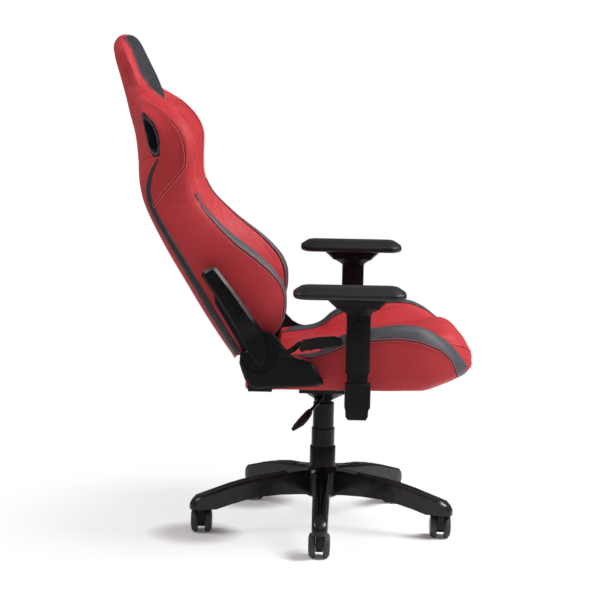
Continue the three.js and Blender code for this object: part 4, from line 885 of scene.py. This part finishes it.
def swell(cushions):
    """Inflates the cushions together with Blender's cloth, and caps how far a point moves."""
    for made, _, _ in cushions:
        cloth = modified(made, "CLOTH")
        settings = cloth.settings
        settings.quality = CLOTH_QUALITY
        settings.use_pressure = True
        settings.uniform_pressure_force = PRESSURE
        settings.effector_weights.gravity = 0.0
        settings.vertex_group_mass = "pin"
        cloth.collision_settings.use_collision = False
        cloth.point_cache.frame_start, cloth.point_cache.frame_end = 1, CLOTH_FRAMES
    for step in range(1, CLOTH_FRAMES + 1):
        scene.frame_set(step)
    for made, start, hold in cushions:
        swollen = positions(applied(made))
        move = swollen - start
        length = np.linalg.norm(move, axis=1, keepdims=True)
        move *= np.minimum(1, SWELL_LIMIT / np.maximum(length, 1e-6))
        set_positions(made, pressed_flat(start + move))
        made.vertex_groups.clear()
    scene.frame_set(1)
    for made, _, _ in cushions:
        modified(made, "SUBSURF", levels=1, render_levels=1)
        applied(made)


def sew(made, lines):
    """Presses a groove along each seam, with a shallow valley on either side of it."""
    points = positions(made)
    distance = seam_distance(points, lines)
    groove = (GROOVE_DEPTH * np.exp(-(distance / GROOVE_WIDTH) ** 2)
              + VALLEY_DEPTH * np.exp(-(distance / VALLEY_WIDTH) ** 2))
    set_positions(made, points - normals(made) * groove[:, None])


def slab_mesh(name, top, bottom, material, uv):
    """A closed strip between two grids of points."""
    rows, columns = top.shape[:2]
    points = np.vstack((top.reshape(-1, 3), bottom.reshape(-1, 3)))
    below = rows * columns
    index = np.arange(below).reshape(rows, columns)
    faces = []
    for i in range(rows - 1):
        for j in range(columns - 1):
            a, b, c, d = index[i, j], index[i, j + 1], index[i + 1, j + 1], index[i + 1, j]
            faces.append((a, b, c, d))
            faces.append((a + below, d + below, c + below, b + below))
    edge = np.r_[index[0, :-1], index[:-1, -1], index[-1, :0:-1], index[:0:-1, 0]]
    for a, b in zip(edge, np.roll(edge, -1)):
        faces.append((a, a + below, b + below, b))
    made = add_mesh(name, points, [tuple(int(v) for v in face) for face in faces], material)
    both = np.vstack((uv.reshape(-1, 2), uv.reshape(-1, 2)))
    layer = made.data.uv_layers.new(name="weave")
    corners = np.empty(len(made.data.loops), int)
    made.data.loops.foreach_get("vertex_index", corners)
    layer.data.foreach_set("uv", both[corners].ravel())
    return outward(made)


TRIM_PITCH = 4.0


def trim_strip(name, skin, edge, other, body, material, slot, columns=9, lift=1.3, sunk=0.5,
               thick=2.4):
    """A strip of trim that lies on the skin between two lines, its edges let into the seams."""
    count = max(len(spaced(edge, TRIM_PITCH)), len(spaced(other, TRIM_PITCH)))

    def even(line):
        line = spaced(line, 1.0)
        return line[np.linspace(0, len(line) - 1, count).round().astype(int)]

    a, b = eased(even(edge), 6), eased(even(other), 6)
    share = np.linspace(0, 1, columns)
    rise = lerp(-sunk, lift, np.sin(math.pi * share) ** 0.45)
    spots, outwards = np.empty((count, columns, 3)), np.empty((count, columns, 3))
    for i in range(count):
        for j, (spot, normal) in enumerate(skin.across(a[i], b[i], share)):
            spots[i, j], outwards[i, j] = spot, normal
    for _ in range(3):
        for grid in (spots, outwards):
            grid[1:-1] = 0.25 * grid[:-2] + 0.5 * grid[1:-1] + 0.25 * grid[2:]
    outwards /= np.linalg.norm(outwards, axis=2, keepdims=True)
    top = spots + outwards * rise[:, None]
    bottom = top - outwards * thick
    across = np.linalg.norm(np.diff(top, axis=1), axis=2)
    along = np.linalg.norm(np.diff(top[:, columns // 2], axis=0), axis=1)
    u = np.concatenate((np.zeros((count, 1)), np.cumsum(across, axis=1)), axis=1)
    v = np.repeat(np.r_[0, np.cumsum(along)][:, None], columns, axis=1)
    dressed(slab_mesh(name, top, bottom, material, np.stack((u, v), axis=2) / 1000), body, slot)


STITCH_PITCH, STITCH_LENGTH, STITCH_RADIUS, STITCH_LIFT = 5.6, 4.0, 0.8, 0.12
STITCH_STATIONS = [(-0.5, 0.25), (-0.42, 0.8), (0.0, 1.0), (0.42, 0.8), (0.5, 0.25)]
STITCH_SIDES = 6


def stitch_shape():
    """Points and faces of a short rounded bar along X, from (x share, radius share) stations."""
    angle = 2 * np.pi * np.arange(STITCH_SIDES) / STITCH_SIDES
    return loft(np.array([[(x, r * math.cos(a), r * math.sin(a)) for a in angle]
                          for x, r in STITCH_STATIONS]))


def unit(vector):
    return vector / max(np.linalg.norm(vector), 1e-9)


def stitches(name, skin, rows, body):
    """Rows of red thread along lines on the skin. A row is (line, sideways offset)."""
    shape, shape_faces = stitch_shape()
    points, faces = [], []
    for line, offset in rows:
        line = spaced(line, STITCH_PITCH)
        for before, after in zip(line[:-1], line[1:]):
            middle, ahead = (before + after) / 2, unit(after - before)
            aside = unit(np.cross(skin.nearest(middle)[1], ahead))
            spot, normal = (np.array(v) for v in skin.nearest(middle + aside * offset))
            aside = unit(np.cross(normal, ahead))
            ahead = np.cross(aside, normal)
            axes = np.stack((ahead * STITCH_LENGTH, aside * STITCH_RADIUS, normal * STITCH_RADIUS))
            base = len(points) * len(shape)
            points.append(spot + normal * STITCH_LIFT + shape @ axes)
            faces.extend(tuple(base + v for v in face) for face in shape_faces)
    dressed(add_mesh(name, np.vstack(points), faces, "red_thread"), body, "red_upholstery")


back = raw_cushion("back_upholstery", back_rings(), [slot_cutter(side) for _, side in SIDES])
seat = raw_cushion("seat_upholstery", seat_rings())
raw_back_lines = back_seams(Skin(back))
raw_seat_lines = seat_seams(Skin(seat))


SLOT_HOLD, REAR_HOLD = 16.0, 1.2
BOTTOM_HOLD, UNDER_HOLD, LEDGE_HOLD = (475, 20), (402, 10), (100, 14)


def held_back(points, direction):
    """The back is held where it wraps its frame: at the slots, the bottom and the rear."""
    slot_reach = np.full(len(points), np.inf)
    upright = np.abs(points[:, 0]) - (points[:, 1] - SLOT_MIDDLE_Y)
    level = points[:, 2] - SLOT_FALL * (points[:, 1] - SLOT_MOUTH_Y)
    for x, z in SLOT_OUTLINE:
        slot_reach = np.minimum(slot_reach, np.hypot((upright - x) / math.sqrt(2), level - z))
    near_slot = np.exp(-(slot_reach / SLOT_HOLD) ** 2)
    bottom = np.clip((BOTTOM_HOLD[0] - points[:, 2]) / BOTTOM_HOLD[1], 0, 1)
    rear = np.clip(direction[:, 1] - 0.5, 0, 1) * REAR_HOLD
    return np.clip(np.maximum.reduce((near_slot, bottom, rear)), 0, 1)


def held_seat(points, direction):
    """The seat is held along its underside and its rear ledge."""
    under = np.clip((UNDER_HOLD[0] - points[:, 2]) / UNDER_HOLD[1], 0, 1) * (direction[:, 2] < 0.2)
    ledge = np.clip((points[:, 1] - LEDGE_HOLD[0]) / LEDGE_HOLD[1], 0, 1)
    return np.clip(np.maximum(under, ledge), 0, 1)


swell([(back, *prepare_swelling(back, raw_back_lines, held_back)),
       (seat, *prepare_swelling(seat, raw_seat_lines, held_seat))])
back_skin, seat_skin = Skin(back), Skin(seat)
back_lines, seat_lines = back_seams(back_skin), seat_seams(seat_skin)
sew(back, back_lines)
sew(seat, seat_lines)
for made, body, node in ((back, "backrest", "back_cushion"), (seat, "seat", "seat_cushion")):
    made.data.materials.clear()
    made.data.materials.append(FINISHES["red_upholstery"])
    made.data.polygons.foreach_set("use_smooth", [True] * len(made.data.polygons))
    dressed(made, body, "red_upholstery", node)


# ---- trim and stitching

def offset_band(side):
    """The two edges of the black band between the side and the rear panels."""
    middle = np.array(spaced(BAND, 3))
    ahead = np.gradient(middle, axis=0)
    ahead /= np.linalg.norm(ahead, axis=1, keepdims=True)
    across = np.stack((-ahead[:, 1], ahead[:, 0]), axis=1)
    half = BAND_WIDTH(middle[:, 1])[:, None] / 2
    return [back_skin.from_side(side, middle + across * half * sign) for sign in (-1, 1)]


STITCH_OFFSET = 3.0
back_rows, seat_rows = [], []
for name, side in SIDES:
    trim_strip(f"back_trim_{name}", back_skin, back_lines[f"outer_{name}"],
               back_lines[f"inner_{name}"], "backrest", "black_weave", "black_upholstery")
    trim_strip(f"back_band_{name}", back_skin, *offset_band(side), "backrest", "black_upholstery",
               "black_upholstery", columns=7)
    trim_strip(f"seat_trim_{name}", seat_skin, seat_lines[f"outer_{name}"],
               seat_lines[f"inner_{name}"], "seat", "black_weave", "black_upholstery", columns=13)
    for key in ("outer", "wing_edge", "wing_diagonal", "wing_front"):
        back_rows += [(back_lines[f"{key}_{name}"], offset)
                      for offset in (STITCH_OFFSET, -STITCH_OFFSET)]
    back_rows += [(back_lines[f"inner_{name}"], STITCH_OFFSET * side),
                  (back_lines[f"panel_{name}"], STITCH_OFFSET)]
    seat_rows += [(seat_lines[f"outer_{name}"], STITCH_OFFSET),
                  (seat_lines[f"outer_{name}"], -STITCH_OFFSET),
                  (seat_lines[f"panel_{name}"], STITCH_OFFSET)]
seat_rows.append((seat_lines["nose"], STITCH_OFFSET))
stitches("back_stitches", back_skin, back_rows, "backrest")
stitches("seat_stitches", seat_skin, seat_rows, "seat")


# ---- headrest panel

HEAD_OUTLINE = [
    (0, 3), (40, 5), (68, 12), (88, 30), (100, 60), (105, 94), (103, 118), (86, 141), (50, 156),
    (0, 162)]
HEAD_CENTRE_BELOW, HEAD_FRONT_Y = 78.0, 488.0
HEAD_CROWN, HEAD_EDGE_SUNK, HEAD_DEPTH = 3.5, 0.8, 5.0
HEAD_RINGS, HEAD_AROUND = 16, 96
STRIPE_CENTRES, STRIPE_WIDTH, STRIPE_BELOW = (-36.0, 36.0), 15.0, (44, 118)


def head_patch(skin, shares, lift):
    """Points over the headrest's face, from its centre (share 0) out to the panel's edge (1)."""
    half = [(x, BACK_TOP - below) for x, below in HEAD_OUTLINE]
    outline = half + [(-x, z) for x, z in half[-2:0:-1]]
    curve = rounded(np.array([(x, 0, z) for x, z in outline], float)[None], 12)[0]
    curve = curve[np.linspace(0, len(curve), HEAD_AROUND, endpoint=False).round().astype(int)]
    rings = []
    for share in shares:
        ring = []
        for x, _, z in curve:
            x, z = x * share, lerp(BACK_TOP - HEAD_CENTRE_BELOW, z, share)
            spot, normal = skin.ray((x, -OUTSIDE, z), (0, 1, 0))
            if spot is None:
                spot, normal = skin.nearest((x, HEAD_FRONT_Y, z))
            ring.append(np.array(spot) + np.array(normal) * lift(share))
        rings.append(ring)
    return np.array(rings)


def head_lift(share):
    return -HEAD_EDGE_SUNK + (HEAD_CROWN + HEAD_EDGE_SUNK) * (1 - share ** 5) ** 0.6


shares = np.r_[np.linspace(0.001, 0.85, HEAD_RINGS - 6), np.linspace(0.9, 1.0, 6)]
face = head_patch(back_skin, shares, head_lift)
inner_face = head_patch(back_skin, shares[::-1], lambda share: -HEAD_DEPTH)
head = outward(add_mesh("headrest_cover", *loft(np.concatenate((face, inner_face))),
                        "black_upholstery"))
dressed(head, "backrest", "black_upholstery", "headrest_panel")
head_skin = Skin(head)
border = face[HEAD_RINGS - 4]
stitches("headrest_stitches", head_skin, [(np.vstack((border, border[:1])), 0.0)], "backrest")

for index, x in enumerate(STRIPE_CENTRES):
    edges = [head_skin.from_front([(x + sign * STRIPE_WIDTH / 2, BACK_TOP - below)
                                   for below in STRIPE_BELOW]) for sign in (-1, 1)]
    trim_strip(f"headrest_stripe_{index + 1}", head_skin, *edges, "backrest", "red_upholstery",
               "red_upholstery", columns=5, lift=0.7, sunk=0.3, thick=1.4)


# ---- armrest pads

ARM_X, ARM_Y = 305.0, -73.0
PAD_MIDDLE_Y, PAD_WIDTH, PAD_LENGTH = ARM_Y + 22, 95.0, 262.0
TABLE_MIDDLE_Y = ARM_Y + 3
RAIL_WIDTH, RAIL_HEIGHT, RAIL_REACH, RAIL_GAP = 20.0, 4.0, 87.5, 0.6
PAD_CORNER, CORNER_STEPS, OUTLINE_POINTS = 30, 12, 120
PAD_PROFILE = [
    (9, 0), (5.2, 1.2), (2.6, 3.2), (0.8, 5.6), (0, 8), (0, 12), (0.5, 13.8), (1.9, 15.6), (4.2, 17.4),
    (8, 20.2), (13, 23.6), (17, 26.2), (20.5, 27.8), (26, 28.9), (34, 29.3), (44, 29.5)]
PAD_BEVEL, PAD_BEVEL_ANGLE = 0.4, math.radians(50)
BUTTON_OPENING = 3
LEFT_PAD_FORWARD = 16


def pad_outline(width, length, corner):
    """A rounded rectangle about the origin, as even points."""
    straight_x, straight_y = width / 2 - corner, length / 2 - corner
    points = []
    for centre_x, centre_y, start in ((straight_x, straight_y, 0), (-straight_x, straight_y, 90),
                                      (-straight_x, -straight_y, 180), (straight_x, -straight_y, 270)):
        for step in range(CORNER_STEPS + 1):
            angle = math.radians(start + 90 * step / CORNER_STEPS)
            points.append((centre_x + corner * math.cos(angle), centre_y + corner * math.sin(angle)))
    loop = spaced(points + points[:1], 1.0)
    return loop[np.linspace(0, len(loop) - 1, OUTLINE_POINTS, endpoint=False).round().astype(int)]


def box_cutter(low, high):
    rings = np.array([[(low[0], low[1], z), (high[0], low[1], z), (high[0], high[1], z),
                       (low[0], high[1], z)] for z in (low[2], high[2])], float)
    return outward(add_mesh("box_cutter", *loft(rings), smooth=False))


def arm_pad(name, side, bottom, forward):
    centre = np.array((side * ARM_X, PAD_MIDDLE_Y - forward, 0.0))
    rings = []
    for inset, height in PAD_PROFILE:
        outline = pad_outline(PAD_WIDTH - 2 * inset, PAD_LENGTH - 2 * inset,
                              max(PAD_CORNER - inset * 0.6, 2.5))
        rings.append([(x, y, bottom + height) for x, y in outline] + centre)
    made = outward(add_mesh(f"arm_pad_cover_{name}", *loft(np.array(rings)), "arm_pad_pu"))
    base = TABLE_MIDDLE_Y - forward
    rail_low = (side * ARM_X - RAIL_WIDTH / 2 - RAIL_GAP, base - RAIL_REACH - RAIL_GAP, bottom - 1)
    rail_high = (side * ARM_X + RAIL_WIDTH / 2 + RAIL_GAP, base + RAIL_REACH + RAIL_GAP,
                 bottom + RAIL_HEIGHT + RAIL_GAP)
    low, high = (millimetres(corner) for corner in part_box(f"arm_pad_button_{name}"))
    cut_away(made, box_cutter(rail_low, rail_high))
    cut_away(made, box_cutter(low - (RAIL_GAP + BUTTON_OPENING * (side > 0), RAIL_GAP, RAIL_GAP),
                              high + (RAIL_GAP + BUTTON_OPENING * (side < 0), RAIL_GAP, RAIL_GAP)))
    modified(made, "BEVEL", width=PAD_BEVEL / 1000, segments=2, limit_method="ANGLE",
             angle_limit=PAD_BEVEL_ANGLE)
    applied(made)
    dressed(made, f"pad_{name}", "arm_pad_pu", f"arm_pad_{name}")


arm_pad("right", -1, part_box("arm_pad_right")[0].z * 1000, 0)
arm_pad("left", 1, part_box("arm_pad_left")[0].z * 1000, LEFT_PAD_FORWARD)


# ---- finishes of the CAD nodes

NODE_FINISH = {"recline_grip": "grip_rubber", "height_lever_grip": "grip_rubber",
               "harness_bezel_right": "liner_plastic", "harness_bezel_left": "liner_plastic"}
BEVELS = {"star_base": 0.0, "side_cover_right": 0.6, "side_cover_left": 0.6,
          "back_arm_cover_right": 0.5, "back_arm_cover_left": 0.5, "mechanism_housing": 1.2}
BEVEL_WIDTH, SMALL_BEVEL = 0.8, 0.4
SMALL_PARTS = ("button", "trigger", "knob")
SHARP_ANGLE = math.radians(34)
WELD_DISTANCE = 1e-5


def shading_group():
    """Welds a node's facets and shades it smooth, except at its real edges."""
    group = bpy.data.node_groups.new("weld_and_shade", "GeometryNodeTree")
    group.interface.new_socket("Geometry", in_out="INPUT", socket_type="NodeSocketGeometry")
    group.interface.new_socket("Geometry", in_out="OUTPUT", socket_type="NodeSocketGeometry")
    source = add_node(group, "NodeGroupInput").outputs[0]
    plain = add_node(group, "GeometryNodeRemoveAttribute",
                     {"Geometry": source, "Name": "custom_normal"}).outputs[0]
    welded = add_node(group, "GeometryNodeMergeByDistance",
                      {"Geometry": plain, "Distance": WELD_DISTANCE}).outputs[0]
    angle = add_node(group, "GeometryNodeInputMeshEdgeAngle").outputs[0]
    sharp = add_node(group, "FunctionNodeCompare", {0: angle, 1: SHARP_ANGLE},
                     data_type="FLOAT", operation="LESS_EQUAL").outputs[0]
    edges = add_node(group, "GeometryNodeSetShadeSmooth", {"Geometry": welded, "Shade Smooth": sharp},
                     domain="EDGE").outputs[0]
    faces = add_node(group, "GeometryNodeSetShadeSmooth", {"Geometry": edges, "Shade Smooth": True},
                     domain="FACE").outputs[0]
    output = add_node(group, "NodeGroupOutput")
    group.links.new(faces, output.inputs[0])
    return group


shading = shading_group()
for name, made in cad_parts.items():
    slot = made.material_slots[0]
    slot_name = slot.material.name.split(".")[0]
    slot.material = FINISHES[NODE_FINISH.get(name, slot_name)]
    modified(made, "NODES", node_group=shading)
    small = any(word in name for word in SMALL_PARTS)
    width = BEVELS.get(name, SMALL_BEVEL if small else BEVEL_WIDTH)
    if width > 0:
        modified(made, "BEVEL", width=width / 1000, segments=2, limit_method="ANGLE",
                 angle_limit=SHARP_ANGLE, harden_normals=True)
